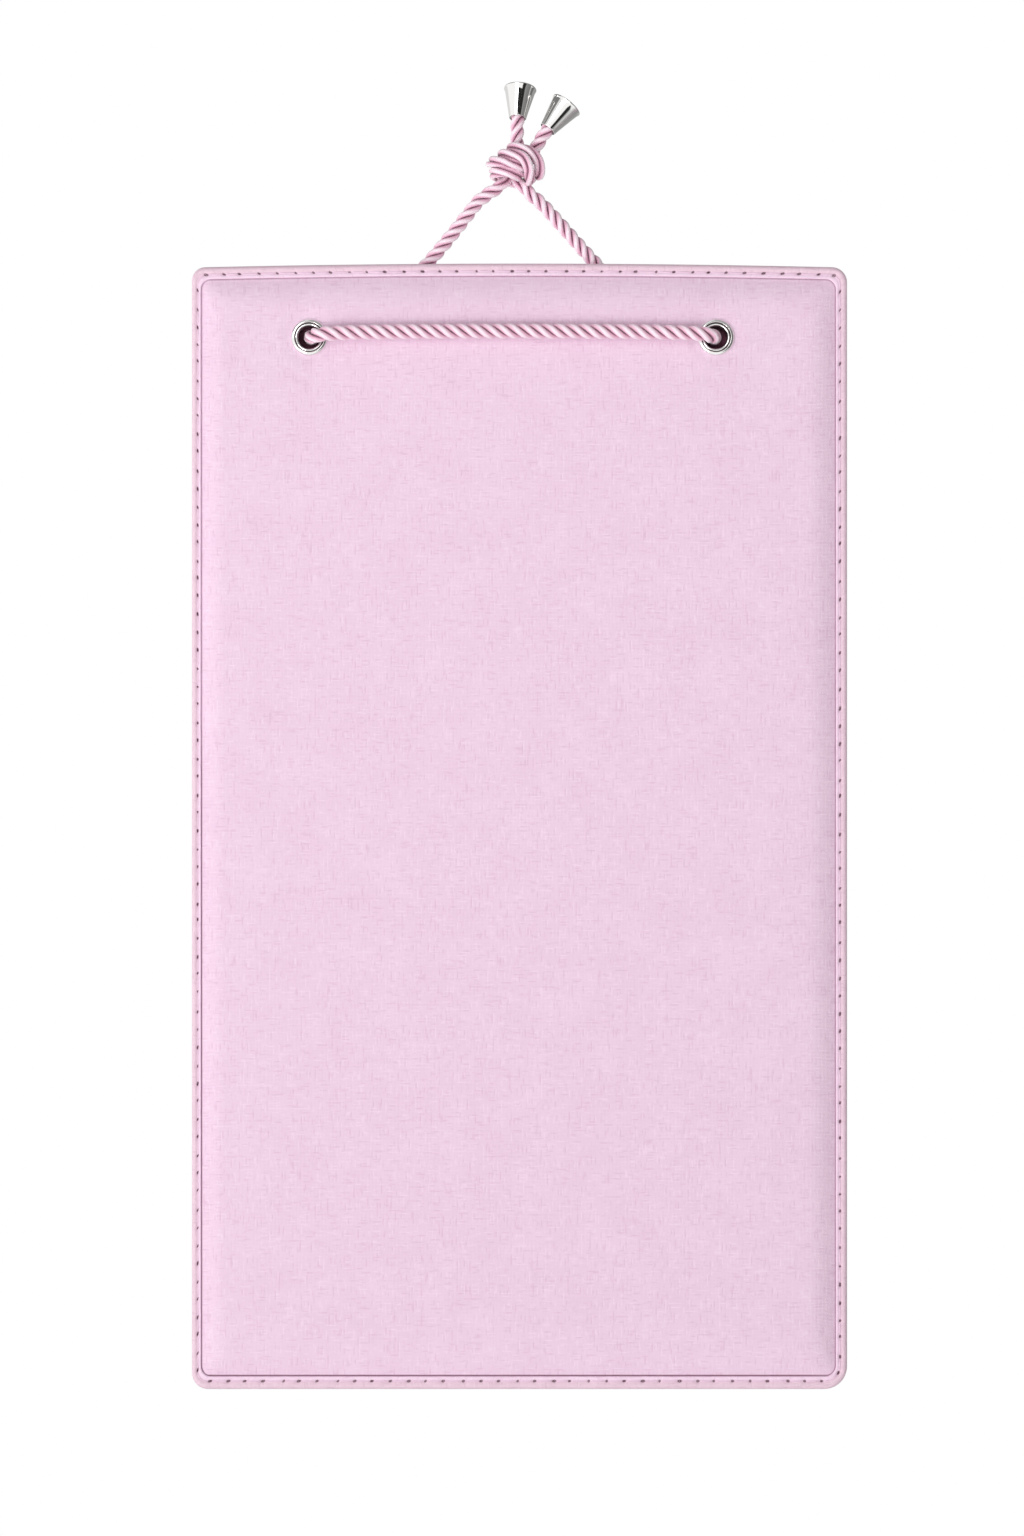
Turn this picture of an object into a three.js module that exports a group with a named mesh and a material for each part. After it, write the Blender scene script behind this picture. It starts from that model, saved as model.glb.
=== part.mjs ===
// Hanging pin display board: a padded fabric board with a bound edge and two eyelets, and a twisted cord
// that crosses its front, passes through the eyelets and is tied above it in an overhand knot.
// Millimetres, +Z up, the front faces -Y. The origin is the fork of the cord under the knot, where the
// loop lies on its hook.

import * as THREE from "three";
import { mergeVertices } from "three/addons/utils/BufferGeometryUtils.js";

// Board outline
const BOARD_WIDTH = 200;
const BOARD_HEIGHT = 342.4;
const BOARD_SHIFT = 2.1; // the board hangs a little to the right of the knot
const BOARD_TOP = -25; // height of the two top corners
const TOP_BOW = 1.2; // the top edge rises this much in its middle
const CORNER_RADII = { bottomLeft: 5, bottomRight: 7, topRight: 4.6, topLeft: 4 };
const CORNER_STEPS = 4;
const TOP_EDGE_POINTS = 6;
const SEAM_CORNER = 1.8; // smallest corner radius, at the inner seam of the binding
const CROWN_CORNER = 5; // corner radius where the padded front becomes flat

// Layers from the back to the front
const REAR_FACE = -2.7;
const BINDING_WALL = 0.7;
const COVER_WALL = 0.5;
const BOARD_THICKNESS = 2;
const PAD_RISE = 3.5;
const FOAM_GAP = 0.3;
const LAYER_INSET = 1; // the raw edges of the layers stop this far inside the outline

// Padded shoulder of the front
const SHOULDER_WIDTH = 7.5;
const SHOULDER_STEPS = 7;
const FOAM_FIRST_STEP = 2;
const SHOULDER_SKEW_SHARE = 0.8;

// Edge binding
const BINDING_WIDTH = 3.6;
const BINDING_ROLL = 0.6; // depth of the rounded outer edge
const BINDING_ROLL_SOFT = 0.15;
const STITCH_INSET = 2.3; // the stitch line lies in this shallow valley
const STITCH_DEPTH = 0.25;
const BEAD_INSET = 3.1; // the folded inner edge stands up in a small bead
const BEAD_SOFT = 0.3;
const LIP_FLAT_INSET = 1.2;

// Eyelets
const EYELET_MARGIN = 38.1; // mean distance from the eyelets to the sides of the board
const EYELET_DROP = 21.7; // below the top corners
const EYELET_BORE = 3.3;
const EYELET_WALL = 0.35;
const FLANGE_RADIUS = 5.55;
const FLANGE_CREST = 4.55;
const FLANGE_HEIGHT = 1.3;
const FLANGE_INNER_HEIGHT = 1.5;
const FLANGE_STEPS = 6;
const CURL_RADIUS = 4.6;
const CURL_CREST = 3.95;
const CURL_HEIGHT = 0.35;
const CURL_SOFT = 0.15;
const WASHER_THICKNESS = 0.35;
const WASHER_BORE = 3.8;
const WASHER_RADIUS = 5.4;
const HOLE_RADIUS = 3.85;
const ROUND_SIDES = 32;

// Back cover over the back of an eyelet, with the hole that the cord fills
const BULGE_RADIUS = 6.6;
const BULGE_FLAT_RADIUS = 5.6;
const CORD_HOLE_RADIUS = 2.5;
const CORD_HOLE_INWARD = 0.8; // from the eyelet's axis
const CORD_HOLE_UP = 0.4;

// Dimple that the eyelet presses into the padding
const DIMPLE_RADIUS = 9.2;
const DIMPLE_SLOPE_RADIUS = 7.4;
const DIMPLE_SEAT_RADIUS = 5.8;
const DIMPLE_DEPTH = 0.8;
const DIMPLE_SLOPE_DEPTH = 0.42;
const DIMPLE_SIDES = 24;

// Cord
const CORD_DIAMETER = 4.3;
const CORD_SIDES = 8;
const SPAN_STEPS = 64;
const LEG_STEPS = 32;
const LEG_START_INWARD = 4.6; // where a leg leaves its eyelet, from the eyelet's axis
const LEG_START_UP = 2.18;
const SPAN_CLEARANCE = 2.5; // from the crown of the padding to the middle of the span's line
const SPAN_RISE = 1.6; // the span's middle lies this much above the eyelets
const TAIL_STEPS = 6;

// Knot: both cord ends are tied together in one overhand knot, pulled tight
const KNOT_CORD_DIAMETER = 2.3; // the cord is squeezed here
const KNOT_CORD_SIDES = 6;
const KNOT_STEPS = 66;
const KNOT_LEAST_GAP = 0.4;

// Cord-end caps, bells that hide the knotted ends of the cord
const CAP_LENGTH = 10.7;
const CAP_NARROW_RADIUS = 2.75;
const CAP_WIDE_RADIUS = 4.9;
const CAP_WALL = 0.3;
const CAP_RIM_SWELL = 0.2;
const CAP_RIM_HEIGHT = 0.5;
const CAP_SIDES = 28;
const CORD_END_RADIUS = 3.5;
const CORD_END_RISE = 7.1; // centre of the knotted end above the narrow mouth

// Derived levels
const BACK_COVER_REAR = REAR_FACE - BINDING_WALL;
const BOARD_REAR = BACK_COVER_REAR - COVER_WALL;
const BOARD_FRONT = BOARD_REAR - BOARD_THICKNESS;
const COVER_EDGE_FRONT = BOARD_FRONT - COVER_WALL;
const BINDING_FRONT = COVER_EDGE_FRONT - BINDING_WALL;
const CROWN_INNER = BOARD_FRONT - PAD_RISE;
const CROWN_OUTER = CROWN_INNER - COVER_WALL;
const EYELET_SEAT = CROWN_OUTER + DIMPLE_DEPTH;
const CURL_SEAT = BOARD_REAR + WASHER_THICKNESS;
const CURL_REAR = CURL_SEAT + CURL_HEIGHT;
const EYELET_HEIGHT = BOARD_TOP - EYELET_DROP;
const EYELET_OFFSET = BOARD_WIDTH / 2 - EYELET_MARGIN; // from the line through the knot

const radians = (degrees) => THREE.MathUtils.degToRad(degrees);
const vector = (point) => new THREE.Vector3(...point);

// Materials

function coveringFabric() {
  return new THREE.MeshStandardMaterial({ color: 0xefd0e6, roughness: 0.85, metalness: 0 });
}

function bindingFabric() {
  return new THREE.MeshStandardMaterial({ color: 0xe8cadf, roughness: 0.8, metalness: 0 });
}

function paddingFoam() {
  return new THREE.MeshStandardMaterial({ color: 0xf4efe4, roughness: 0.95, metalness: 0 });
}

function fibreBoard() {
  return new THREE.MeshStandardMaterial({ color: 0xb79a74, roughness: 0.9, metalness: 0 });
}

function nickel() {
  return new THREE.MeshStandardMaterial({ color: 0xd9dadd, roughness: 0.12, metalness: 1 });
}

function satinCord() {
  return new THREE.MeshStandardMaterial({ color: 0xf2b4d6, roughness: 0.4, metalness: 0 });
}

// Shared forming functions

// Turns any closed geometry into one welded body whose faces look outward.
function weld(geometry) {
  const bare = new THREE.BufferGeometry();
  bare.setAttribute("position", geometry.getAttribute("position"));
  if (geometry.index) bare.setIndex(geometry.index);
  const welded = mergeVertices(bare, 1e-4);
  const place = welded.getAttribute("position");
  const faces = [];
  for (let i = 0; i < welded.index.count; i += 3) {
    const face = [0, 1, 2].map((k) => welded.index.getX(i + k));
    if (new Set(face).size === 3) faces.push(face);
  }
  let volume = 0;
  const corners = [new THREE.Vector3(), new THREE.Vector3(), new THREE.Vector3()];
  for (const face of faces) {
    face.forEach((index, k) => corners[k].fromBufferAttribute(place, index));
    volume += corners[0].dot(corners[1].clone().cross(corners[2]));
  }
  if (volume < 0) faces.forEach((face) => face.reverse());
  welded.setIndex(faces.flat());
  welded.computeVertexNormals();
  return welded;
}

// Rounded outline of the board, moved inward, from the lower left corner and counter-clockwise as seen
// from the front. The top edge is bowed up.
function outline(inset) {
  const left = BOARD_SHIFT - BOARD_WIDTH / 2;
  const top = BOARD_TOP;
  const bottom = BOARD_TOP - BOARD_HEIGHT;
  const right = left + BOARD_WIDTH;
  const growth = Math.max(inset - BINDING_WIDTH, 0) / SHOULDER_WIDTH;
  const least = SEAM_CORNER + (CROWN_CORNER - SEAM_CORNER) * growth;
  const radius = (name) => Math.max(CORNER_RADII[name] - inset, least);
  const bow = (x) => TOP_BOW * (1 - (2 * (x - BOARD_SHIFT) / BOARD_WIDTH) ** 2);
  const points = [];
  const corner = (name, sideX, sideZ, fromAngle) => {
    const r = radius(name);
    const inX = sideX > 0 ? right - inset - r : left + inset + r;
    const inZ = sideZ > 0 ? top - inset - r : bottom + inset + r;
    for (let i = 0; i <= CORNER_STEPS; i++) {
      const angle = radians(fromAngle + 90 * i / CORNER_STEPS);
      const x = inX + r * Math.cos(angle);
      const lift = sideZ > 0 ? bow(x) * Math.sin(angle) : 0;
      points.push([x, inZ + r * Math.sin(angle) + lift]);
    }
    return inX;
  };
  corner("bottomLeft", -1, -1, 180);
  corner("bottomRight", 1, -1, 270);
  const from = corner("topRight", 1, 1, 0);
  const to = left + inset + radius("topLeft");
  for (let i = 1; i <= TOP_EDGE_POINTS; i++) {
    const x = from + (to - from) * i / (TOP_EDGE_POINTS + 1);
    points.push([x, top - inset + bow(x)]);
  }
  corner("topLeft", -1, 1, 90);
  return points;
}

function outlineRing(inset, y) {
  return outline(inset).map(([x, z]) => new THREE.Vector3(x, y, z));
}

// Ring round an eyelet's axis, or round a hole that lies inward and up from it.
function holeRing(side, [radius, y, inward = 0, up = 0]) {
  const centreX = side * (EYELET_OFFSET - inward);
  return Array.from({ length: DIMPLE_SIDES }, (_, i) => {
    const angle = 2 * Math.PI * i / DIMPLE_SIDES;
    return new THREE.Vector3(centreX + radius * Math.cos(angle), y, EYELET_HEIGHT + up + radius * Math.sin(angle));
  });
}

// Faces between successive rings that have the same number of points.
function skin(rings, corners) {
  for (let k = 0; k + 1 < rings.length; k++) {
    const a = rings[k];
    const b = rings[k + 1];
    for (let i = 0; i < a.length; i++) {
      const j = (i + 1) % a.length;
      corners.push(a[i], a[j], b[j], a[i], b[j], b[i]);
    }
  }
}

// Flat face between an outline ring and the two eyelet hole rings.
function holedFace(ring, holes, facesFront, corners) {
  const flat = (points) => points.map((p) => new THREE.Vector2(p.x, p.z));
  const all = [...ring, ...holes.flat()];
  for (const face of THREE.ShapeUtils.triangulateShape(flat(ring), holes.map(flat))) {
    const order = facesFront ? face : [...face].reverse();
    corners.push(...order.map((index) => all[index]));
  }
}

function fromCorners(corners) {
  const geometry = new THREE.BufferGeometry().setFromPoints(corners);
  geometry.setIndex(corners.map((_, i) => i));
  return weld(geometry);
}

// A layer of the board. edge holds [inset, y] from the back over the raw edge to the front; hole holds
// [radius, y] from the front to the back, and inward and up where it isn't round the eyelet's axis.
function layer(edge, hole) {
  const corners = [];
  const rings = edge.map(([inset, y]) => outlineRing(inset, y));
  const eyelets = [-1, 1].map((side) => hole.map((place) => holeRing(side, place)));
  skin(rings, corners);
  eyelets.forEach((holeRings) => skin(holeRings, corners));
  holedFace(rings.at(-1), eyelets.map((holeRings) => holeRings[0]), true, corners);
  holedFace(rings[0], eyelets.map((holeRings) => holeRings.at(-1)), false, corners);
  return fromCorners(corners);
}

// A round piece turned about its own Y axis from a closed profile of [radius, height].
function turned(profile, sides) {
  const points = [...profile, profile[0]].map(([radius, height]) => new THREE.Vector2(radius, height));
  return weld(new THREE.LatheGeometry(points, sides));
}

// A round cord swept along a smooth route.
function cordAlong(curve, diameter, sides, steps) {
  const section = new THREE.Shape();
  for (let i = 0; i < sides; i++) {
    const angle = 2 * Math.PI * i / sides;
    const x = diameter / 2 * Math.cos(angle);
    const y = diameter / 2 * Math.sin(angle);
    if (i) section.lineTo(x, y);
    else section.moveTo(x, y);
  }
  section.closePath();
  return weld(new THREE.ExtrudeGeometry(section, { steps, extrudePath: curve, bevelEnabled: false }));
}

const route = (points) => new THREE.CatmullRomCurve3(points.map(vector));

function named(name, geometry, material) {
  const mesh = new THREE.Mesh(geometry, material);
  mesh.name = name;
  return mesh;
}

// Padded front: the covering fabric rises over the foam in a soft shoulder, lies flat in the middle and
// dips under each eyelet.

function shoulderRise(step) {
  const s = (step / SHOULDER_STEPS) ** SHOULDER_SKEW_SHARE;
  return PAD_RISE * s * s * (3 - 2 * s);
}

function shoulder(base, firstStep) {
  const points = [];
  for (let step = firstStep; step <= SHOULDER_STEPS; step++) {
    points.push([BINDING_WIDTH + SHOULDER_WIDTH * step / SHOULDER_STEPS, base - shoulderRise(step)]);
  }
  return points;
}

function dimple(crown) {
  return [
    [DIMPLE_RADIUS, crown],
    [DIMPLE_SLOPE_RADIUS, crown + DIMPLE_SLOPE_DEPTH],
    [DIMPLE_SEAT_RADIUS, crown + DIMPLE_DEPTH],
    [HOLE_RADIUS, crown + DIMPLE_DEPTH],
  ];
}

function frontCover() {
  const back = shoulder(BOARD_FRONT, 0).reverse();
  const front = shoulder(COVER_EDGE_FRONT, 0);
  const edge = [...back, [LAYER_INSET, BOARD_FRONT], [LAYER_INSET, COVER_EDGE_FRONT], ...front];
  const hole = [...dimple(CROWN_OUTER), ...dimple(CROWN_INNER).reverse()];
  return named("front_cover", layer(edge, hole), coveringFabric());
}

function foamPad() {
  const slope = shoulder(BOARD_FRONT + FOAM_GAP, FOAM_FIRST_STEP);
  const edge = [[slope[0][0], BOARD_FRONT], ...slope];
  const hole = [...dimple(CROWN_INNER + FOAM_GAP), [HOLE_RADIUS, BOARD_FRONT]];
  return named("foam_pad", layer(edge, hole), paddingFoam());
}

function backingBoard() {
  const edge = [[LAYER_INSET, BOARD_REAR], [LAYER_INSET, BOARD_FRONT]];
  const hole = [[HOLE_RADIUS, BOARD_FRONT], [HOLE_RADIUS, BOARD_REAR]];
  return named("backing_board", layer(edge, hole), fibreBoard());
}

// Back cover: it passes over the rolled back of each eyelet and has a hole for the cord beside its axis.
function backCover() {
  const rise = WASHER_THICKNESS + CURL_HEIGHT;
  const bulge = (base) => [
    [BULGE_RADIUS, base],
    [BULGE_FLAT_RADIUS, base + rise],
    [CORD_HOLE_RADIUS, base + rise, CORD_HOLE_INWARD, CORD_HOLE_UP],
  ];
  const edge = [[LAYER_INSET, BACK_COVER_REAR], [LAYER_INSET, BOARD_REAR]];
  const hole = [...bulge(BOARD_REAR), ...bulge(BACK_COVER_REAR).reverse()];
  return named("back_cover", layer(edge, hole), coveringFabric());
}

// Edge binding: one fabric strip folded over the edge of all layers, stitched through near its inner edge.
function edgeBinding() {
  const profile = [
    [BINDING_WIDTH, BACK_COVER_REAR],
    [BINDING_WIDTH, REAR_FACE - BEAD_SOFT],
    [BINDING_WIDTH - BEAD_SOFT, REAR_FACE],
    [BINDING_ROLL, REAR_FACE],
    [BINDING_ROLL_SOFT, REAR_FACE - BINDING_ROLL],
    [0, REAR_FACE - BINDING_ROLL - BEAD_SOFT],
    [0, BINDING_FRONT + BINDING_ROLL + BEAD_SOFT],
    [BINDING_ROLL_SOFT, BINDING_FRONT + BINDING_ROLL],
    [BINDING_ROLL, BINDING_FRONT + BINDING_ROLL_SOFT],
    [LIP_FLAT_INSET, BINDING_FRONT],
    [STITCH_INSET, BINDING_FRONT + STITCH_DEPTH],
    [BEAD_INSET, BINDING_FRONT],
    [BINDING_WIDTH, BINDING_FRONT + BEAD_SOFT],
    [BINDING_WIDTH, COVER_EDGE_FRONT],
    [BINDING_WALL, COVER_EDGE_FRONT],
    [BINDING_WALL, BACK_COVER_REAR],
  ];
  const rings = profile.map(([inset, y]) => outlineRing(inset, y));
  const corners = [];
  skin([...rings, rings[0]], corners);
  return named("edge_binding", fromCorners(corners), bindingFabric());
}

// Eyelets: a domed front flange and a barrel in one piece, curled over a flat washer at the back.

function eyelet(side) {
  const flange = [];
  for (let i = 0; i <= FLANGE_STEPS; i++) {
    const angle = Math.PI / 2 * i / FLANGE_STEPS;
    flange.push([
      FLANGE_CREST + (FLANGE_RADIUS - FLANGE_CREST) * Math.cos(angle),
      EYELET_SEAT - FLANGE_HEIGHT * Math.sin(angle),
    ]);
  }
  const innerBase = EYELET_SEAT - FLANGE_HEIGHT + FLANGE_INNER_HEIGHT;
  for (let i = 1; i <= FLANGE_STEPS; i++) {
    const angle = Math.PI / 2 * i / FLANGE_STEPS;
    flange.push([
      FLANGE_CREST - (FLANGE_CREST - EYELET_BORE) * Math.sin(angle),
      innerBase - FLANGE_INNER_HEIGHT * Math.cos(angle),
    ]);
  }
  const curl = [
    [EYELET_BORE, CURL_SEAT - CURL_SOFT],
    [EYELET_BORE + CURL_SOFT, CURL_REAR - CURL_SOFT],
    [CURL_CREST, CURL_REAR],
    [CURL_RADIUS - CURL_SOFT, CURL_REAR - CURL_SOFT],
    [CURL_RADIUS, CURL_SEAT],
    [EYELET_BORE + EYELET_WALL, CURL_SEAT],
    [EYELET_BORE + EYELET_WALL, EYELET_SEAT],
  ];
  const mesh = named(`eyelet_${side < 0 ? "left" : "right"}`, turned([...flange, ...curl], ROUND_SIDES), nickel());
  mesh.position.set(side * EYELET_OFFSET, 0, EYELET_HEIGHT);
  return mesh;
}

function eyeletWasher(side) {
  const profile = [
    [WASHER_BORE, BOARD_REAR],
    [WASHER_RADIUS, BOARD_REAR],
    [WASHER_RADIUS, CURL_SEAT],
    [WASHER_BORE, CURL_SEAT],
  ];
  const mesh = named(`eyelet_washer_${side < 0 ? "left" : "right"}`, turned(profile, ROUND_SIDES), nickel());
  mesh.position.set(side * EYELET_OFFSET, 0, EYELET_HEIGHT);
  return mesh;
}

// Front span of the cord: from behind the left eyelet through it, across the front with a little slack
// and back through the right eyelet.
function frontSpan() {
  // [inward from the eyelet's axis, y, up from the axis]
  const behind = [
    [4.15, 0, 1.98],
    [3.15, -0.15, 1.52],
    [2.15, -0.66, 1.05],
    [0.95, -2.1, 0.5],
    [0.45, -4.2, 0.25],
  ];
  // [inward from the eyelet's axis, y from the crown of the padding, up from the axis]
  const emerging = [
    [0.5, 1.25, 0.1],
    [1.06, -0.85, 0.2],
    [2.6, -2.39, 0.4],
    [4.7, -2.95, 0.7],
  ];
  // share of the way out to the eyelet, with y from the crown and the height above the axis
  const free = [
    { share: 0.81, y: -2.8, up: 1.1 },
    { share: 0.58, y: -2.6, up: 1.4 },
    { share: 0.29, y: -2.5, up: 1.55 },
  ];
  const half = [
    ...behind.map(([inward, y, up]) => [EYELET_OFFSET - inward, y, EYELET_HEIGHT + up]),
    ...emerging.map(([inward, y, up]) => [EYELET_OFFSET - inward, CROWN_OUTER + y, EYELET_HEIGHT + up]),
    ...free.map(({ share, y, up }) => [EYELET_OFFSET * share, CROWN_OUTER + y, EYELET_HEIGHT + up]),
  ];
  const middle = [0, CROWN_OUTER - SPAN_CLEARANCE, EYELET_HEIGHT + SPAN_RISE];
  const left = half.map(([x, y, z]) => [-x, y, z]);
  const curve = route([...left, middle, ...half.reverse()]);
  return named("cord_front_span", cordAlong(curve, CORD_DIAMETER, CORD_SIDES, SPAN_STEPS), satinCord());
}

// Legs of the hanging loop: from the back of each eyelet over the top edge of the board to the knot.
// Each route is a list of shares of the way across and up from its knot end to its eyelet end.
function leg(side, knotEnd, shares) {
  const eyeletEnd = [side * (EYELET_OFFSET - LEG_START_INWARD), 0, EYELET_HEIGHT + LEG_START_UP];
  const curve = route(shares.map(([across, up]) => [
    knotEnd[0] + (eyeletEnd[0] - knotEnd[0]) * across,
    0,
    knotEnd[2] + (eyeletEnd[2] - knotEnd[2]) * up,
  ]));
  return cordAlong(curve, CORD_DIAMETER, CORD_SIDES, LEG_STEPS);
}

function leftLeg() {
  const shares = [
    [1, 1], [0.854, 0.922], [0.694, 0.822], [0.534, 0.684], [0.382, 0.509],
    [0.234, 0.306], [0.114, 0.128], [0.066, 0.058], [0, 0],
  ];
  return named("cord_left_leg", leg(-1, [-7.3, 0, -1.7], shares), satinCord());
}

function rightLeg() {
  const shares = [
    [1, 1], [0.859, 0.922], [0.704, 0.821], [0.549, 0.682],
    [0.391, 0.505], [0.17, 0.208], [0.058, 0.06], [0, 0],
  ];
  return named("cord_right_leg", leg(1, [5.6, 0, -2.05], shares), satinCord());
}

// Knot strands. Both cords run side by side: each rises behind, comes over the top on the left, sweeps
// across the front and down the right side, passes under and behind to the left, comes round to the
// front again, is tucked into the middle and rises through it to its tail.
const leftStrand = route([
  [-7, 0, -1.5],
  [-3.8, 0.4, 0.6],
  [-1.85, 1.25, 2.9],
  [-2.1, 1.9, 6.2],
  [-3.35, 0.95, 8.6],
  [-2.9, -2.5, 9.9],
  [-0.2, -5.35, 9.65],
  [3.2, -6.8, 8.25],
  [5, -6.6, 5.45],
  [5.2, -4.95, 3.25],
  [5.1, -2.5, 2],
  [5.35, 0.65, 2.8],
  [3.55, 4.4, 2.25],
  [0.35, 5.65, 2.55],
  [-3.65, 4.6, 3.6],
  [-5.8, 0.4, 4.45],
  [-4.55, -3.8, 4.55],
  [-1.85, -5.45, 4.1],
  [0.85, -4.5, 3.5],
  [2.2, -1.6, 3.75],
  [1.3, -0.65, 6.95],
  [1.7, 0.65, 10.1],
  [1.4, 0.8, 15],
]);
const rightStrand = route([
  [5.3, 0, -1.8],
  [3.55, 0.2, 0.25],
  [1.25, 1.7, 2.7],
  [0.85, 2.65, 6.05],
  [-0.85, 2.3, 9.9],
  [-0.85, -0.65, 11.6],
  [1.6, -3.8, 11.85],
  [4.85, -4.75, 10.7],
  [7.45, -4.1, 8.15],
  [8.25, -2.5, 5.6],
  [8.05, -0.4, 4.1],
  [6.65, 3.05, 4.8],
  [3.05, 5.8, 5.7],
  [-1, 6.2, 6.95],
  [-4.55, 4.75, 7.55],
  [-6.5, 1.05, 7.65],
  [-5.6, -2.95, 7.7],
  [-2.9, -5.55, 7.3],
  [0.15, -5.75, 6.4],
  [2.75, -4.1, 6.15],
  [4.65, -1.25, 6.95],
  [5.75, 0.4, 9.55],
  [7.8, 0.2, 13.6],
]);

// Least gap between two strands, or between a strand and itself further along.
function leastGap(one, other) {
  const steps = 4 * KNOT_STEPS;
  const a = one.getSpacedPoints(steps);
  const b = other.getSpacedPoints(steps);
  const skip = one === other ? Math.ceil(2 * KNOT_CORD_DIAMETER * steps / one.getLength()) : 0;
  let least = Infinity;
  for (let i = 0; i <= steps; i++) {
    for (let j = skip ? i + skip : 0; j <= steps; j++) {
      least = Math.min(least, a[i].distanceTo(b[j]) - KNOT_CORD_DIAMETER);
    }
  }
  return least;
}

const knotGaps = {
  "left strand to itself": leastGap(leftStrand, leftStrand),
  "right strand to itself": leastGap(rightStrand, rightStrand),
  "left strand to right strand": leastGap(leftStrand, rightStrand),
};
for (const [pair, gap] of Object.entries(knotGaps)) {
  console.log(`knot, ${pair}: least gap ${gap.toFixed(2)} mm${gap > KNOT_LEAST_GAP ? "" : ", too tight"}`);
}

function knotPiece(name, strand) {
  return named(name, cordAlong(strand, KNOT_CORD_DIAMETER, KNOT_CORD_SIDES, KNOT_STEPS), satinCord());
}

// Tails: the two free ends of the cord, each with a cap over its knotted end.

function tail(name, points) {
  return named(name, cordAlong(route(points), CORD_DIAMETER, CORD_SIDES, TAIL_STEPS), satinCord());
}

const leftTailRoute = [
  [1.36, 0.78, 15.3],
  [1.4, 0.8, 18],
  [1.5, 0.8, 20.7],
  [1.79, 0.8, 24],
];
const rightTailRoute = [
  [7.97, 0.18, 13.9],
  [9.2, 0.1, 15.8],
  [10.5, 0, 17.7],
  [12.44, 0, 20.37],
];
const capPlaces = {
  left: { mouth: [1.5, 0.8, 20.7], lean: 5 },
  right: { mouth: [10.5, 0, 17.7], lean: 36 },
};

// Places a turned piece with its axis leaning to the right of the vertical.
function lean(mesh, { mouth, lean: degrees }) {
  mesh.position.set(...mouth);
  mesh.rotation.set(Math.PI / 2, radians(degrees), 0, "YXZ");
  return mesh;
}

function cordCap(side) {
  const outer = (height) => CAP_NARROW_RADIUS + (CAP_WIDE_RADIUS - CAP_NARROW_RADIUS) * height / CAP_LENGTH;
  const inner = (height) => outer(height) - CAP_WALL;
  const profile = [
    [inner(0), 0],
    [outer(0), 0],
    [outer(0) + CAP_RIM_SWELL, CAP_RIM_HEIGHT / 2],
    [outer(CAP_RIM_HEIGHT), CAP_RIM_HEIGHT],
    [outer(CAP_LENGTH / 2), CAP_LENGTH / 2],
    [outer(CAP_LENGTH - 2 * CAP_RIM_HEIGHT), CAP_LENGTH - 2 * CAP_RIM_HEIGHT],
    [outer(CAP_LENGTH) + CAP_RIM_SWELL, CAP_LENGTH - CAP_RIM_HEIGHT],
    [outer(CAP_LENGTH), CAP_LENGTH],
    [inner(CAP_LENGTH), CAP_LENGTH],
  ];
  return lean(named(`cord_cap_${side}`, turned(profile, CAP_SIDES), nickel()), capPlaces[side]);
}

function cordEnd(side) {
  const ball = new THREE.SphereGeometry(CORD_END_RADIUS, 14, 10);
  ball.translate(0, CORD_END_RISE, 0);
  return lean(named(`cord_end_${side}`, weld(ball), satinCord()), capPlaces[side]);
}

// Assembly

const board = new THREE.Group();
board.name = "board";
board.add(backCover(), backingBoard(), foamPad(), frontCover(), edgeBinding());
board.add(eyelet(-1), eyelet(1), eyeletWasher(-1), eyeletWasher(1), frontSpan());

const hangingLoop = new THREE.Group();
hangingLoop.name = "hanging_loop";
hangingLoop.add(leftLeg(), rightLeg(), knotPiece("cord_knot_left", leftStrand));
hangingLoop.add(knotPiece("cord_knot_right", rightStrand));

const leftEnd = new THREE.Group();
leftEnd.name = "tail_left";
leftEnd.add(tail("cord_left_tail", leftTailRoute), cordCap("left"), cordEnd("left"));

const rightEnd = new THREE.Group();
rightEnd.name = "tail_right";
rightEnd.add(tail("cord_right_tail", rightTailRoute), cordCap("right"), cordEnd("right"));

const pinBoard = new THREE.Group();
pinBoard.name = "hanging_pin_display_board";
pinBoard.add(board, hangingLoop, leftEnd, rightEnd);

export default pinBoard;
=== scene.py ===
import math

import bpy
import numpy as np
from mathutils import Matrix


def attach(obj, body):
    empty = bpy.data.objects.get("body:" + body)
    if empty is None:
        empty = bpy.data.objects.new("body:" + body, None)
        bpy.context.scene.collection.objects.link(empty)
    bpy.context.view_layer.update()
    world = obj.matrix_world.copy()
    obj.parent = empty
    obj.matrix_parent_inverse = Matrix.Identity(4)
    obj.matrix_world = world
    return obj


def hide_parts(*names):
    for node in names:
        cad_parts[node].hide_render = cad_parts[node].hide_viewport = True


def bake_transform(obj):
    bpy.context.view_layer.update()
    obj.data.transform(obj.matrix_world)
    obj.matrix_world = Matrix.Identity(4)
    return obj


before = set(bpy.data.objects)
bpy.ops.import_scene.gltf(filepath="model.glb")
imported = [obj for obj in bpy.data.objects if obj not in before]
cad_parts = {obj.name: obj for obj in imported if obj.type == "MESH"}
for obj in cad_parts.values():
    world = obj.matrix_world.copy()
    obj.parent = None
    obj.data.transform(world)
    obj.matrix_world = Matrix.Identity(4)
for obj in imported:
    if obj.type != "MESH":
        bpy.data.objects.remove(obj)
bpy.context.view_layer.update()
bpy.ops.object.select_all(action="DESELECT")


# Camera: straight on to the front of the board, a little below the middle of the whole hanging, from
# 1.3 m away, so that the picture is as tall as 468 mm at the board.

bpy.ops.object.camera_add(location=(-0.0002, -1.308, -0.1778), rotation=(math.pi / 2, 0, 0))
camera = bpy.context.object
camera.data.lens = 100
camera.data.sensor_width = 36
bpy.context.scene.camera = camera


# Backing board: a 2 mm fibre board between the covers. It keeps the panel flat and holds the pins. It is
# the CAD solid, with the speckled brown of pressed wood fibres.

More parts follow.
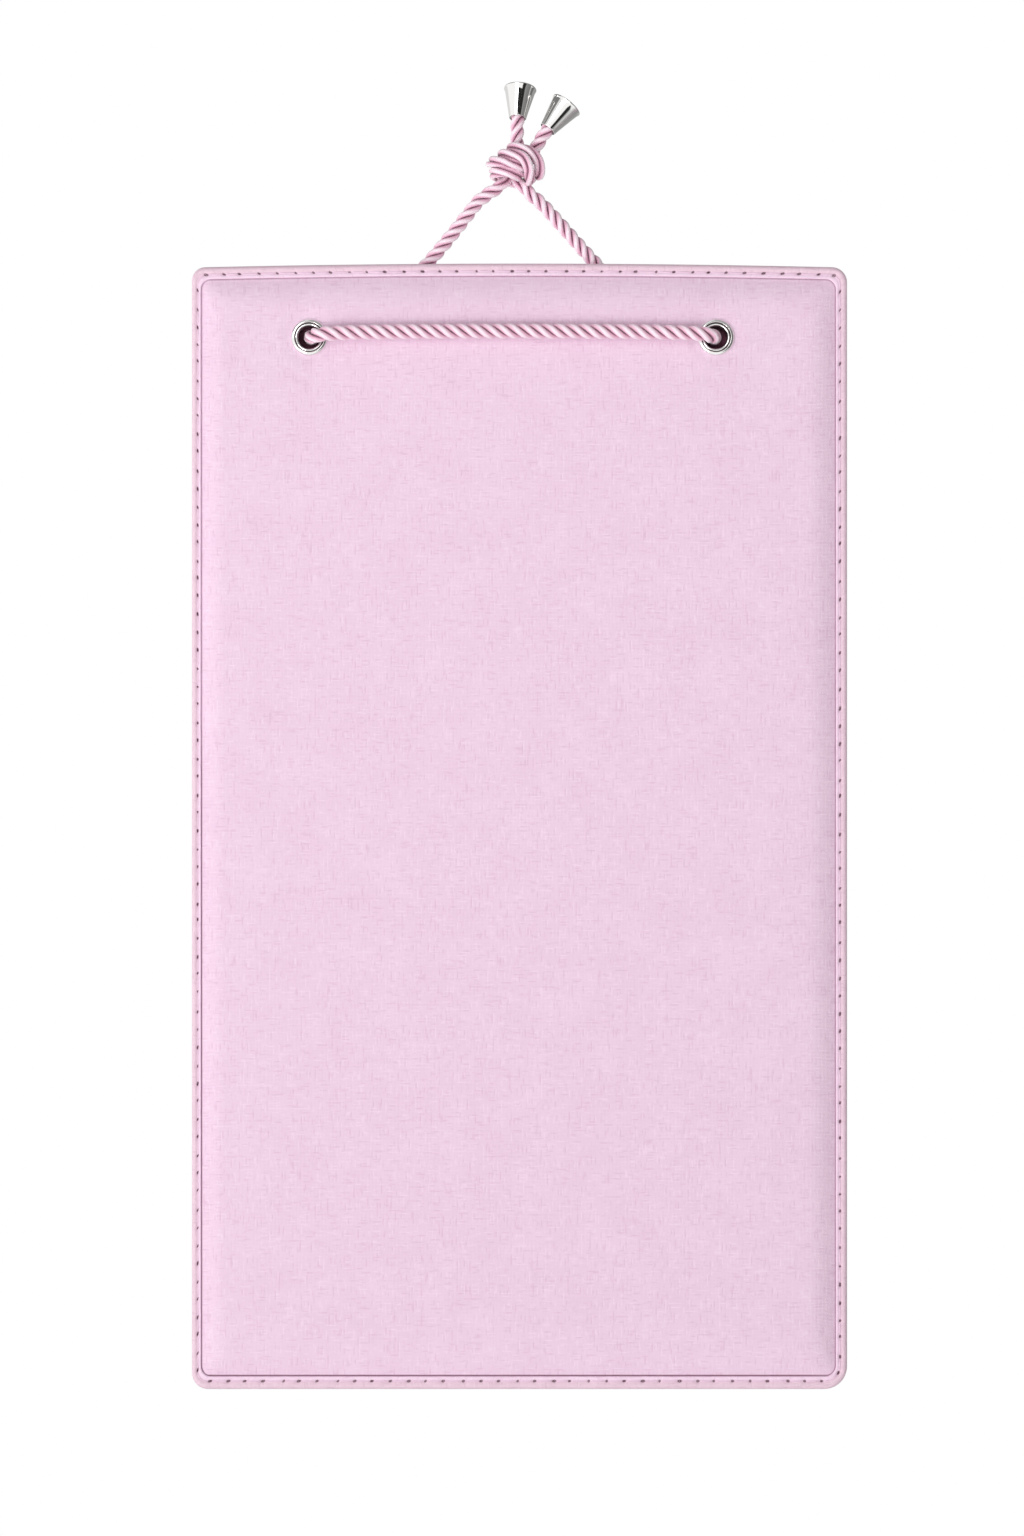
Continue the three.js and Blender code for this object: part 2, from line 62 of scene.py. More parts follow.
def paint(red, green, blue):
    """A colour as a colour picker shows it, 0 to 255, in the linear values that a material takes."""
    shares = [value / 255 for value in (red, green, blue)]
    return tuple(s / 12.92 if s <= 0.04045 else ((s + 0.055) / 1.055) ** 2.4 for s in shares) + (1,)


def wire(tree, kind, *sources, **settings):
    """Adds a shader node and sets its inputs in order, each from another node's output or to a value."""
    node = tree.nodes.new("ShaderNode" + kind)
    for key, value in settings.items():
        setattr(node, key, value)
    for socket, source in zip(node.inputs, sources):
        if isinstance(source, bpy.types.NodeSocket):
            tree.links.new(source, socket)
        elif source is not None:
            socket.default_value = source
    return node.outputs[0]


def mix(tree, share, first, second):
    return wire(tree, "MixRGB", share, first, second)


def noise(tree, place, scale, detail, roughness):
    return wire(tree, "TexNoise", place, None, scale, detail, roughness)


def place_on(tree, kind="Object"):
    """Places in metres in the frame that all pieces share, or with kind UV those of the piece's own map."""
    return tree.nodes.new("ShaderNodeTexCoord").outputs[kind]


def start_finish(name, colour, roughness, metallic=0, sheen=0, sheen_roughness=0.5):
    material = bpy.data.materials.new(name)
    material.use_nodes = True
    shader = material.node_tree.nodes["Principled BSDF"]
    values = {"Base Color": colour, "Roughness": roughness, "Metallic": metallic,
              "Sheen Weight": sheen, "Sheen Roughness": sheen_roughness}
    for socket, value in values.items():
        shader.inputs[socket].default_value = value
    return material, material.node_tree, shader


def lay_on(tree, shader, tone, height, depth):
    """Gives the surface its colour, and lets a height between 0 and 1 stand up by depth in its light."""
    tree.links.new(tone, shader.inputs["Base Color"])
    bump = tree.nodes.new("ShaderNodeBump")
    bump.inputs["Strength"].default_value = 1
    bump.inputs["Distance"].default_value = depth
    tree.links.new(height, bump.inputs["Height"])
    tree.links.new(bump.outputs["Normal"], shader.inputs["Normal"])


pressed_fibre, tree, shader = start_finish("pressed_fibre", paint(172, 140, 104), 0.9)
fibres = noise(tree, place_on(tree), 900, 5, 0.7)
speckled = mix(tree, fibres, paint(140, 108, 74), paint(200, 172, 136))
lay_on(tree, shader, speckled, fibres, 0.0002)
fibre_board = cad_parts["backing_board"]
fibre_board.data.materials.clear()
fibre_board.data.materials.append(pressed_fibre)


# Padded front: pink linen stretched over a foam pad. It rises from the edge seam in a soft shoulder, lies
# nearly flat in the middle and dips under the two eyelets. Pad and linen are one closed piece. A light cloth,
# held where the seam and the eyelets hold it, works out how far the foam presses the linen out.

BOARD_LEFT, BOARD_RIGHT = -0.0979, 0.1021
BOARD_BOTTOM, BOARD_TOP = -0.3674, -0.025
BOARD_MIDDLE = (BOARD_LEFT + BOARD_RIGHT) / 2
BOARD_HALFWAY = (BOARD_TOP + BOARD_BOTTOM) / 2
CORNER_RADII = {(-1, -1): 0.005, (1, -1): 0.007, (1, 1): 0.0046, (-1, 1): 0.004}
INNER_CORNER = 0.003
TOP_BOW = 0.0012
LAYER_INSET = 0.001
SEAM_INSET = 0.0036
LEFT_SHARE, RIGHT_SHARE, BOTTOM_SHARE, TOP_SHARE = 0.8, 0.97, 1.13, 1.07
SHOULDER_WIDTH = 0.0092
SHOULDER_ZONE = 0.012
PAD_RISE = 0.0032
COVER_EDGE_FRONT = -0.0064
BOARD_FRONT = -0.0059
EYELETS = (-0.0619, 0.0619)
EYELET_HEIGHT = -0.0467
EYELET_GRIP = 0.0066
DIMPLE_DEPTH, DIMPLE_REACH, DIMPLE_SLOPE = 0.0005, 0.0096, 0.004
PRESSED_OUT = 0.0003
CLOTH_FRAMES = 20
LINEN_THREAD = 0.00042


def top_bow(x):
    return TOP_BOW * (1 - ((x - BOARD_MIDDLE) / (BOARD_RIGHT - BOARD_MIDDLE)) ** 2)


def corner_radius(x, z):
    upper = np.where(x < BOARD_MIDDLE, CORNER_RADII[-1, 1], CORNER_RADII[1, 1])
    lower = np.where(x < BOARD_MIDDLE, CORNER_RADII[-1, -1], CORNER_RADII[1, -1])
    return np.where(z > BOARD_HALFWAY, upper, lower)


def inside_distance(x, z):
    """How far each place lies inside the board's outline, whose corners stay round further in. The binding
    shows wider at the ends than at the sides, and the distances are measured to match."""
    from_side = np.minimum((x - BOARD_LEFT) / LEFT_SHARE, (BOARD_RIGHT - x) / RIGHT_SHARE)
    from_end = np.minimum((z - BOARD_BOTTOM) / BOTTOM_SHARE, (BOARD_TOP + top_bow(x) - z) / TOP_SHARE)
    low, high = np.full(x.shape, -0.01), np.minimum(from_side, from_end)
    for _ in range(26):
        middle = (low + high) / 2
        least = INNER_CORNER + 0.0026 * np.maximum(middle - SEAM_INSET, 0) / SHOULDER_WIDTH
        radius = np.maximum(corner_radius(x, z) - middle, least)
        across = np.maximum(radius - (from_side - middle), 0)
        up = np.maximum(radius - (from_end - middle), 0)
        inside = radius > np.hypot(across, up)
        low, high = np.where(inside, middle, low), np.where(inside, high, middle)
    return low


def soft_step(value):
    share = np.clip(value, 0, 1)
    return share * share * (3 - 2 * share)


def from_eyelet(x, z):
    return np.minimum(*[np.hypot(x - centre, z - EYELET_HEIGHT) for centre in EYELETS])


def uneven(x, z, wave, seed):
    """Slow, soft unevenness between -1 and 1 over the board."""
    chance = np.random.default_rng(seed)
    total = np.zeros_like(x)
    for _ in range(7):
        angle = chance.uniform(0, 2 * math.pi)
        phase = chance.uniform(0, 2 * math.pi)
        scale = chance.uniform(0.7, 1.4)
        total += np.sin(2 * math.pi * (x * math.cos(angle) + z * math.sin(angle)) / (wave * scale) + phase)
    return total / 7


def name_added(name):
    """The primitive that was just added, under its own name."""
    piece = bpy.context.object
    piece.name = piece.data.name = name
    return piece


def bare_grid(name, columns, rows):
    """A flat grid of columns by rows faces, to be given its shape point by point."""
    bpy.ops.object.select_all(action="DESELECT")
    bpy.ops.mesh.primitive_grid_add(x_subdivisions=columns, y_subdivisions=rows, size=2)
    return name_added(name)


def select_only(*pieces):
    bpy.ops.object.select_all(action="DESELECT")
    for piece in pieces:
        piece.select_set(True)
    bpy.context.view_layer.objects.active = pieces[0]


def edit_all():
    """Goes into edit mode on the active piece, with all of it selected."""
    bpy.ops.object.mode_set(mode="EDIT")
    bpy.ops.mesh.select_all(action="SELECT")


def face_outwards():
    """Turns all faces of the active piece outwards."""
    edit_all()
    bpy.ops.mesh.normals_make_consistent(inside=False)
    bpy.ops.object.mode_set(mode="OBJECT")


def values_of(rows, name, width):
    """What each point, face or corner holds under a name, as one row of numbers each."""
    values = np.empty(len(rows) * width)
    rows.foreach_get(name, values)
    return values.reshape(-1, width)


def points_of(piece):
    return values_of(piece.data.vertices, "co", 3)


def move_points(piece, places):
    piece.data.vertices.foreach_set("co", np.asarray(places, np.float32).ravel())
    piece.data.update()


def chosen_points(piece):
    chosen = np.empty(len(piece.data.vertices), bool)
    piece.data.vertices.foreach_get("select", chosen)
    return chosen


def line_places(first, last, fine_zones, fine, coarse):
    """Places from first to last, close together in the fine zones."""
    places = [first]
    while places[-1] < last:
        close = any(low <= places[-1] < high for low, high in fine_zones)
        places.append(places[-1] + (fine if close else coarse))
    places = np.array(places)
    return first + (places - first) * (last - first) / (places[-1] - first)


def board_sheet(name, fine, coarse, shoulder_fine, hole_centres, hole_radius, reach):
    """A flat sheet as large as the board's layers, with round corners and two round holes. Its net is fine
    round the eyelets and, where shoulder_fine is true, along the edges."""
    zones_x = [(x - reach, x + reach) for x in EYELETS]
    zones_z = [(EYELET_HEIGHT - reach, EYELET_HEIGHT + reach)]
    low_x, high_x = BOARD_LEFT + LAYER_INSET, BOARD_RIGHT - LAYER_INSET
    low_z, high_z = BOARD_BOTTOM + LAYER_INSET, BOARD_TOP - LAYER_INSET
    if shoulder_fine:
        zones_x += [(low_x, low_x + SHOULDER_ZONE), (high_x - SHOULDER_ZONE, high_x)]
        zones_z += [(low_z, low_z + SHOULDER_ZONE), (high_z - SHOULDER_ZONE, high_z)]
    across = line_places(low_x, high_x, zones_x, fine, coarse)
    up = line_places(low_z, high_z, zones_z, fine, coarse)
    sheet = bare_grid(name, len(across) - 1, len(up) - 1)
    x, z = np.meshgrid(across, up)
    z = z + top_bow(x) * (z - low_z) / (high_z - low_z)
    radius = corner_radius(x, z) - LAYER_INSET
    centre_x = np.where(x < BOARD_MIDDLE, low_x + radius, high_x - radius)
    centre_z = np.where(z < BOARD_HALFWAY, low_z + radius, high_z + top_bow(x) - radius)
    out_x = (x - centre_x) * np.where(x < BOARD_MIDDLE, -1, 1)
    out_z = (z - centre_z) * np.where(z < BOARD_HALFWAY, -1, 1)
    far = np.hypot(x - centre_x, z - centre_z)
    beyond = (out_x > 0) & (out_z > 0) & (far > radius)
    x = np.where(beyond, centre_x + (x - centre_x) * radius / far, x)
    z = np.where(beyond, centre_z + (z - centre_z) * radius / far, z)
    places = np.stack([x, np.zeros_like(x), z], axis=-1).reshape(-1, 3)
    move_points(sheet, places)
    centres = values_of(sheet.data.polygons, "center", 3)
    near = [np.hypot(centres[:, 0] - cx, centres[:, 2] - cz) < hole_radius for cx, cz in hole_centres]
    punched = near[0] | near[1]
    sheet.data.polygons.foreach_set("select", punched)
    bpy.ops.object.mode_set(mode="EDIT")
    bpy.ops.mesh.select_mode(type="FACE")
    bpy.ops.object.mode_set(mode="OBJECT")
    sheet.data.polygons.foreach_set("select", punched)
    bpy.ops.object.mode_set(mode="EDIT")
    bpy.ops.mesh.delete(type="FACE")
    bpy.ops.mesh.select_mode(type="VERT")
    bpy.ops.mesh.select_all(action="DESELECT")
    bpy.ops.mesh.select_non_manifold()
    bpy.ops.object.mode_set(mode="OBJECT")
    places, edge = points_of(sheet), chosen_points(sheet)
    for cx, cz in hole_centres:
        far = np.hypot(places[:, 0] - cx, places[:, 2] - cz)
        rim = edge & (far < 2 * hole_radius)
        places[rim, 0] = cx + (places[rim, 0] - cx) * hole_radius / far[rim]
        places[rim, 2] = cz + (places[rim, 2] - cz) * hole_radius / far[rim]
    move_points(sheet, places)
    return sheet


def calc(tree, operation, *sources):
    return wire(tree, "Math", *sources, operation=operation)


def times(tree, first, second):
    return calc(tree, "MULTIPLY", first, second)


def minus(tree, first, second):
    return calc(tree, "SUBTRACT", first, second)


def fade(tree, value, start, end, first=0, last=1):
    """Goes from first to last while the value goes from start to end."""
    return wire(tree, "MapRange", value, start, end, first, last)


def split(tree, place):
    """The three parts of a place, as outputs of their own."""
    return wire(tree, "SeparateXYZ", place).node.outputs


plain_weave = bpy.data.node_groups.new("plain_weave", "ShaderNodeTree")
plain_weave.interface.new_socket("Place", in_out="INPUT", socket_type="NodeSocketVector")
plain_weave.interface.new_socket("Thread", in_out="INPUT", socket_type="NodeSocketFloat")
plain_weave.interface.new_socket("Shade", in_out="OUTPUT", socket_type="NodeSocketFloat")
plain_weave.interface.new_socket("Height", in_out="OUTPUT", socket_type="NodeSocketFloat")
tree = plain_weave
given = tree.nodes.new("NodeGroupInput")
result = tree.nodes.new("NodeGroupOutput")
place, thread = given.outputs["Place"], given.outputs["Thread"]
across, up, _ = split(tree, place)
drift = noise(tree, place, 160, 2, 0.5)
counts = [calc(tree, "MULTIPLY_ADD", drift, 0.9, calc(tree, "DIVIDE", way, thread)) for way in (across, up)]
numbers = [calc(tree, "FLOOR", count) for count in counts]
phases = [minus(tree, calc(tree, "FRACT", count), 0.5) for count in counts]
crowns = [calc(tree, "COSINE", times(tree, phase, math.pi)) for phase in phases]
over = calc(tree, "MODULO", calc(tree, "ABSOLUTE", calc(tree, "ADD", *numbers)), 2)
lengthwise = times(tree, crowns[0], calc(tree, "MULTIPLY_ADD", crowns[1], 0.5, 0.5))
crosswise = times(tree, crowns[1], calc(tree, "MULTIPLY_ADD", crowns[0], 0.5, 0.5))
woven = wire(tree, "Mix", over, None, lengthwise, crosswise)
slubs = []
for number, along, offset in ((numbers[0], up, 3), (numbers[1], across, 57)):
    lane = calc(tree, "MULTIPLY_ADD", number, 7.31, offset)
    slubs.append(noise(tree, wire(tree, "CombineXYZ", lane, times(tree, along, 230)), 1, 1, 0.5))
thick = calc(tree, "MAXIMUM", *[fade(tree, slub, 0.6, 0.74) for slub in slubs])
thin = calc(tree, "MAXIMUM", *[fade(tree, slub, 0.41, 0.27) for slub in slubs])
shade = calc(tree, "MULTIPLY_ADD", noise(tree, place, 70, 3, 0.55), 0.5, 0.4)
for streaks, strength in ((woven, 0.16), (thick, 0.36), (thin, -0.44)):
    shade = calc(tree, "MULTIPLY_ADD", streaks, strength, shade)
tree.links.new(shade, result.inputs["Shade"])
tree.links.new(calc(tree, "MULTIPLY_ADD", thick, 0.5, woven), result.inputs["Height"])


def lay_weave(tree, place, thread):
    """The weave's shade and height, for cloth whose own two directions are in place, in metres."""
    group = tree.nodes.new("ShaderNodeGroup")
    group.node_tree = plain_weave
    tree.links.new(place, group.inputs["Place"])
    group.inputs["Thread"].default_value = thread
    return group.outputs["Shade"], group.outputs["Height"]


def flat_place(tree):
    """The cloth's own directions where it lies flat on the board: across and up."""
    x, _, z = split(tree, place_on(tree))
    return wire(tree, "CombineXYZ", x, z)


def seam_crease_shade(tree):
    """How much painted shade the crease along the inner edge of the binding takes: 1 in the crease, and 0 a
    little further in.
    """
    x, _, z = split(tree, place_on(tree))
    aside = calc(tree, "DIVIDE", minus(tree, x, BOARD_MIDDLE), BOARD_RIGHT - BOARD_MIDDLE)
    bow = calc(tree, "MULTIPLY_ADD", times(tree, aside, aside), -TOP_BOW, TOP_BOW + BOARD_TOP)
    sides = (x, BOARD_LEFT, LEFT_SHARE), (BOARD_RIGHT, x, RIGHT_SHARE)
    ends = (z, BOARD_BOTTOM, BOTTOM_SHARE), (bow, z, TOP_SHARE)
    short = []
    for edges in (sides, ends):
        insets = [calc(tree, "DIVIDE", minus(tree, far, near), share) for far, near, share in edges]
        missing = minus(tree, SEAM_INSET + INNER_CORNER, calc(tree, "MINIMUM", *insets))
        short.append(calc(tree, "POWER", calc(tree, "MAXIMUM", missing, 0), 2))
    nearest = minus(tree, SEAM_INSET + INNER_CORNER, calc(tree, "SQRT", calc(tree, "ADD", *short)))
    return fade(tree, nearest, SEAM_INSET + 0.0002, SEAM_INSET + 0.0006, 1, 0)


def linen(name, dark, light):
    """Woven cloth with painted shade in the crease at the seam, darkest along the bottom and low on the left.
    How dark goes by the mean of a place's three parts, which is what a place gives to an input for one
    number."""
    material, tree, shader = start_finish(name, light, 0.82, sheen=0.15)
    shade, height = lay_weave(tree, flat_place(tree), LINEN_THREAD)
    # The crease's dark colour is painted shade, set deeper low on the left than up on the right.
    depth = fade(tree, place_on(tree), -0.094, -0.088, 0.9, 0.55)
    crease = times(tree, seam_crease_shade(tree), depth)
    crease_shaded_tone = mix(tree, crease, mix(tree, shade, dark, light), paint(112, 62, 86))
    lay_on(tree, shader, crease_shaded_tone, height, 0.00007)
    return material


def pad_level(x, z):
    """The pad's face, before the foam presses the linen out."""
    step = 1 - (1 - np.clip((inside_distance(x, z) - SEAM_INSET) / SHOULDER_WIDTH, 0, 1)) ** 2
    dimple = soft_step((DIMPLE_REACH - from_eyelet(x, z)) / DIMPLE_SLOPE)
    return COVER_EDGE_FRONT - PAD_RISE * step + DIMPLE_DEPTH * dimple


def pressed_out(x, z, columns=64, rows=112):
    """How far forward the foam presses the linen at each place, from a net of the cloth with 3 mm meshes."""
    low_x, high_x = BOARD_LEFT + SEAM_INSET * LEFT_SHARE, BOARD_RIGHT - SEAM_INSET * RIGHT_SHARE
    low_z, high_z = BOARD_BOTTOM + SEAM_INSET * BOTTOM_SHARE, BOARD_TOP - SEAM_INSET * TOP_SHARE
    cloth = bare_grid("linen_net", columns, rows)
    net_x, net_z = np.meshgrid(np.linspace(low_x, high_x, columns + 1), np.linspace(low_z, high_z, rows + 1))
    net_z = net_z + top_bow(net_x) * (net_z - low_z) / (high_z - low_z)
    net_y = pad_level(net_x, net_z)
    move_points(cloth, np.stack([net_x, net_y, net_z], axis=-1).reshape(-1, 3))
    still = from_eyelet(net_x, net_z) < EYELET_GRIP
    still[[0, -1]] = True
    still[:, [0, -1]] = True
    cloth.vertex_groups.new(name="held").add(np.flatnonzero(still.ravel()).tolist(), 1, "REPLACE")
    pull = cloth.modifiers.new("pull", "CLOTH")
    pull.settings.vertex_group_mass = "held"
    pull.settings.tension_stiffness = pull.settings.compression_stiffness = 40
    pull.settings.shear_stiffness = 13
    pull.settings.bending_stiffness = 5
    pull.settings.use_pressure = True
    pull.settings.uniform_pressure_force = 0.3
    pull.settings.effector_weights.gravity = 0
    pull.point_cache.frame_start, pull.point_cache.frame_end = 1, CLOTH_FRAMES
    for number in range(1, CLOTH_FRAMES + 1):
        bpy.context.scene.frame_set(number)
    bpy.ops.object.modifier_apply(modifier="pull")
    bpy.context.scene.frame_set(1)
    moved = net_y - points_of(cloth)[:, 1].reshape(net_y.shape)
    bpy.ops.object.delete()
    moved = PRESSED_OUT * np.tanh(moved / PRESSED_OUT)
    across = np.clip((x - low_x) / (high_x - low_x), 0, 1) * columns
    up = np.clip((z - low_z) / (high_z + top_bow(x) - low_z), 0, 1) * rows
    column, row = np.minimum(across.astype(int), columns - 1), np.minimum(up.astype(int), rows - 1)
    across, up = across - column, up - row
    lower = moved[row, column] * (1 - across) + moved[row, column + 1] * across
    upper = moved[row + 1, column] * (1 - across) + moved[row + 1, column + 1] * across
    return lower * (1 - up) + upper * up


EYELET_CENTRES = [(x, EYELET_HEIGHT) for x in EYELETS]
padded_front = board_sheet(
    "padded_front", fine=0.0008, coarse=0.002, shoulder_fine=True,
    hole_centres=EYELET_CENTRES, hole_radius=0.00385, reach=0.011,
)
first_rise = 0.001
edit_all()
bpy.ops.mesh.extrude_region_move(TRANSFORM_OT_translate={"value": (0, -first_rise, 0)})
bpy.ops.object.mode_set(mode="OBJECT")
places = points_of(padded_front)
front = places[:, 1] < -first_rise / 2
x, z = places[front, 0], places[front, 2]
slack = 0.00006 * uneven(x, z, 0.05, 4) * soft_step((inside_distance(x, z) - SEAM_INSET) / SHOULDER_WIDTH)
places[front, 1] = pad_level(x, z) + slack - pressed_out(x, z)
places[~front, 1] = BOARD_FRONT
select_only(padded_front)
move_points(padded_front, places)
face_outwards()
bpy.ops.object.shade_smooth_by_angle(angle=math.radians(50))
padded_front.data.materials.append(linen("pink_linen", paint(227, 189, 214), paint(246, 217, 237)))
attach(padded_front, "board")
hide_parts("front_cover", "foam_pad")


# Back cover: the same linen, with a dark plum lining that is painted shade, stretched over the back of the
# fibre board and over the rolled backs of the eyelets. Beside each eyelet's axis it has a punched hole that
# the cord fills.

BOARD_BACK = -0.0034
BULGE_RISE, BULGE_REACH, BULGE_SLOPE = 0.0007, 0.0066, 0.0011
CORD_HOLES = [(x - 0.00075 * math.copysign(1, x), EYELET_HEIGHT + 0.0004) for x in EYELETS]
back_cover = board_sheet(
    "back_cover_linen", fine=0.0006, coarse=0.0035, shoulder_fine=False,
    hole_centres=CORD_HOLES, hole_radius=0.0018, reach=0.0075,
)
places = points_of(back_cover)
x, z = places[:, 0], places[:, 2]
bulge = BULGE_RISE * soft_step((BULGE_REACH - from_eyelet(x, z)) / BULGE_SLOPE)
places[:, 1] = BOARD_BACK + bulge + 0.00003 * uneven(x, z, 0.06, 9)
move_points(back_cover, places)
face_outwards()
if back_cover.data.polygons[0].normal.y < 0:
    bpy.ops.object.mode_set(mode="EDIT")
    bpy.ops.mesh.flip_normals()
    bpy.ops.object.mode_set(mode="OBJECT")
wall = back_cover.modifiers.new("wall", "SOLIDIFY")
wall.thickness = 0.0005
wall.offset = -1
wall.material_offset = 1
wall.material_offset_rim = 0
bpy.ops.object.modifier_apply(modifier="wall")
bpy.ops.object.shade_smooth_by_angle(angle=math.radians(50))
back_cover.data.materials.append(linen("pink_linen_back", paint(225, 188, 212), paint(244, 215, 235)))
# The lining's dark plum is painted shade, for the inside of the board seen through the eyelets.
back_cover.data.materials.append(linen("plum_lining_painted_shade", paint(106, 56, 76), paint(136, 80, 102)))
for face in back_cover.data.polygons:
    face.material_index = 1 if face.normal.y < -0.5 else 0
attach(back_cover, "board")
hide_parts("back_cover")


# Edge binding: a folded strip of the same linen round the raw edge of all layers, sewn through at about
# 2.3 mm from the edge. Each needle hole pulls it in a little, and its folded inner edge stands up between.

STITCH_INSET = 0.0023
STITCH_PITCH = 0.0055
NEEDLE_HOLE = 0.00074


def edge_ring(inset, across_steps, up_steps, corner_steps):
    """Places round the board at an inset, with the same count and order for every inset."""
    arcs = []
    for (side_x, side_z), start in zip(CORNER_RADII, (180, 270, 0, 90)):
        radius = max(CORNER_RADII[side_x, side_z] - inset, INNER_CORNER)
        right, left = BOARD_RIGHT - inset * RIGHT_SHARE - radius, BOARD_LEFT + inset * LEFT_SHARE + radius
        top, bottom = BOARD_TOP - inset * TOP_SHARE - radius, BOARD_BOTTOM + inset * BOTTOM_SHARE + radius
        centre_x, centre_z = right if side_x > 0 else left, top if side_z > 0 else bottom
        turn = np.radians(start + np.linspace(0, 90, corner_steps + 1))
        x = centre_x + radius * np.cos(turn)
        lift = top_bow(x) * np.sin(turn) if side_z > 0 else 0
        arcs.append(np.stack([x, centre_z + radius * np.sin(turn) + lift], axis=-1))
    ring = []
    for number, arc in enumerate(arcs):
        steps = up_steps if number in (1, 3) else across_steps
        after = arcs[(number + 1) % 4][0]
        share = np.linspace(0, 1, steps + 1)[1:-1, None]
        straight = arc[-1] + (after - arc[-1]) * share
        if number == 2:
            straight[:, 1] = BOARD_TOP - inset * TOP_SHARE + top_bow(straight[:, 0])
        ring += [arc, straight]
    ring.append(arcs[0][:1])
    return np.vstack(ring)


def run_along(line):
    """How far along the line each of its points lies."""
    return np.concatenate([[0], np.cumsum(np.linalg.norm(np.diff(line, axis=0), axis=1))])


RING_STEPS = (340, 600, 16)
stitch_ring = edge_ring(STITCH_INSET, *RING_STEPS)
ring_run = run_along(stitch_ring)
stitch_count = int(round(ring_run[-1] / STITCH_PITCH))
needle_chance = np.random.default_rng(11)
needle_places = np.arange(stitch_count) + needle_chance.uniform(-0.09, 0.09, stitch_count)
needle_places = needle_places * ring_run[-1] / stitch_count
needle_sizes = needle_chance.uniform(0.5, 0.95, stitch_count)
gap_to_needle = np.abs(ring_run[:, None] - needle_places[None, :])
gap_to_needle = np.minimum(gap_to_needle, ring_run[-1] - gap_to_needle)
nearest_needle = gap_to_needle.argmin(1)
gap_to_needle = gap_to_needle.min(1)
needle_pull = np.exp(-((gap_to_needle / (NEEDLE_HOLE * needle_sizes[nearest_needle])) ** 2))
between = soft_step(gap_to_needle / 0.0026)

# The section of the strip, in millimetres: how far in from the board's edge, and the place along Y. It goes
# from the front fold round the board's edge to the back fold, and back along the strip's inner side.
lip_section = [
    (3.6, -6.42), (3.63, -6.6), (3.62, -6.8), (3.54, -6.98), (3.38, -7.1), (3.18, -7.13), (2.95, -7.08),
    (2.74, -6.99), (2.55, -6.91), (2.42, -6.87), (2.3, -6.85), (2.18, -6.86), (2.02, -6.91), (1.8, -6.99),
    (1.5, -7.06), (1.2, -7.06), (0.95, -6.99), (0.72, -6.86), (0.5, -6.66), (0.3, -6.4), (0.14, -6.08),
    (0.04, -5.7), (0, -5.3), (0, -4.9), (0, -4.3), (0.02, -3.8), (0.09, -3.44), (0.23, -3.16),
    (0.42, -2.94), (0.65, -2.79), (0.9, -2.71), (1.2, -2.7), (1.5, -2.75), (1.8, -2.83), (2.02, -2.9),
    (2.18, -2.94), (2.3, -2.95), (2.42, -2.93), (2.55, -2.89), (2.74, -2.81), (2.95, -2.73), (3.18, -2.7),
    (3.38, -2.72), (3.54, -2.84), (3.6, -3.0), (3.6, -3.38), (2.0, -3.38), (0.75, -3.38), (0.75, -4.9),
    (0.75, -6.42), (2.0, -6.42), (3.6, -6.42),
]
LIP_FRONT, LIP_MIDDLE, LIP_BACK = -0.0065, -0.0049, -0.0032
HOLE_DEPTH, TUCK_DEPTH, RIPPLE_HEIGHT = 0.0005, 0.00012, 0.00005
rings, needle_shade_marks = [], []
for inset, level in lip_section:
    inset, level = inset / 1000, level / 1000
    ring = edge_ring(inset, *RING_STEPS)
    from_stitch = abs(inset - STITCH_INSET)
    outer_face = level < LIP_FRONT or level > LIP_BACK
    if outer_face:
        facing = -1 if level < LIP_MIDDLE else 1
        hole = HOLE_DEPTH * needle_pull * math.exp(-((from_stitch / 0.0004) ** 2))
        tuck = TUCK_DEPTH * (1 - between) * math.exp(-((from_stitch / 0.0009) ** 2))
        ripple = RIPPLE_HEIGHT * (between - 0.5) * (1 if inset > STITCH_INSET else 0.7)
        level = level + facing * (ripple - hole - tuck)
    else:
        level = np.full(len(ring), level)
    rings.append(np.stack([ring[:, 0], level, ring[:, 1]], axis=-1))
    needle_shade_marks.append(needle_pull * math.exp(-((from_stitch / 0.00042) ** 2)) * outer_face)


def mark_needle_holes(piece, needle_shade_marks):
    """Keeps with each point of the piece how much it lies in a needle hole, from 0 to 1, as its share of
    painted shade.
    """
    holes = piece.data.attributes.new("needle_hole_shade", "FLOAT", "POINT")
    holes.data.foreach_set("value", np.asarray(needle_shade_marks, np.float32).ravel())


def in_needle_holes(tree, start, end):
    """The share of painted shade: 0 outside the needle holes and 1 well inside them, from the marks on the
    piece.
    """
    holes = wire(tree, "Attribute", attribute_name="needle_hole_shade").node
    return fade(tree, holes.outputs["Fac"], start, end)


def set_map(piece, columns, rows):
    """Writes the piece's UV map, from a value for each column of its grid and one for each row."""
    layer = piece.data.uv_layers.active.data
    places = values_of(layer, "uv", 2)
    along = np.interp(places[:, 0] * (len(columns) - 1), np.arange(len(columns)), columns)
    aside = np.interp(places[:, 1] * (len(rows) - 1), np.arange(len(rows)), rows)
    layer.foreach_set("uv", np.stack([along, aside], axis=-1).ravel())


def wrapped_strip(name, rings, run, around):
    """A strip or tube with its map, still open along its seams, from the lines of points along it."""
    strip = bare_grid(name, len(run) - 1, len(around) - 1)
    move_points(strip, np.array(rings).reshape(-1, 3))
    set_map(strip, run, around)
    return strip


def close_seams(piece, angle=50):
    select_only(piece)
    edit_all()
    bpy.ops.mesh.remove_doubles(threshold=1e-6)
    bpy.ops.mesh.select_mode(type="VERT")
    bpy.ops.mesh.select_all(action="DESELECT")
    bpy.ops.mesh.select_non_manifold()
    bpy.ops.mesh.fill_holes(sides=0)
    face_outwards()
    bpy.ops.object.shade_smooth_by_angle(angle=math.radians(angle))


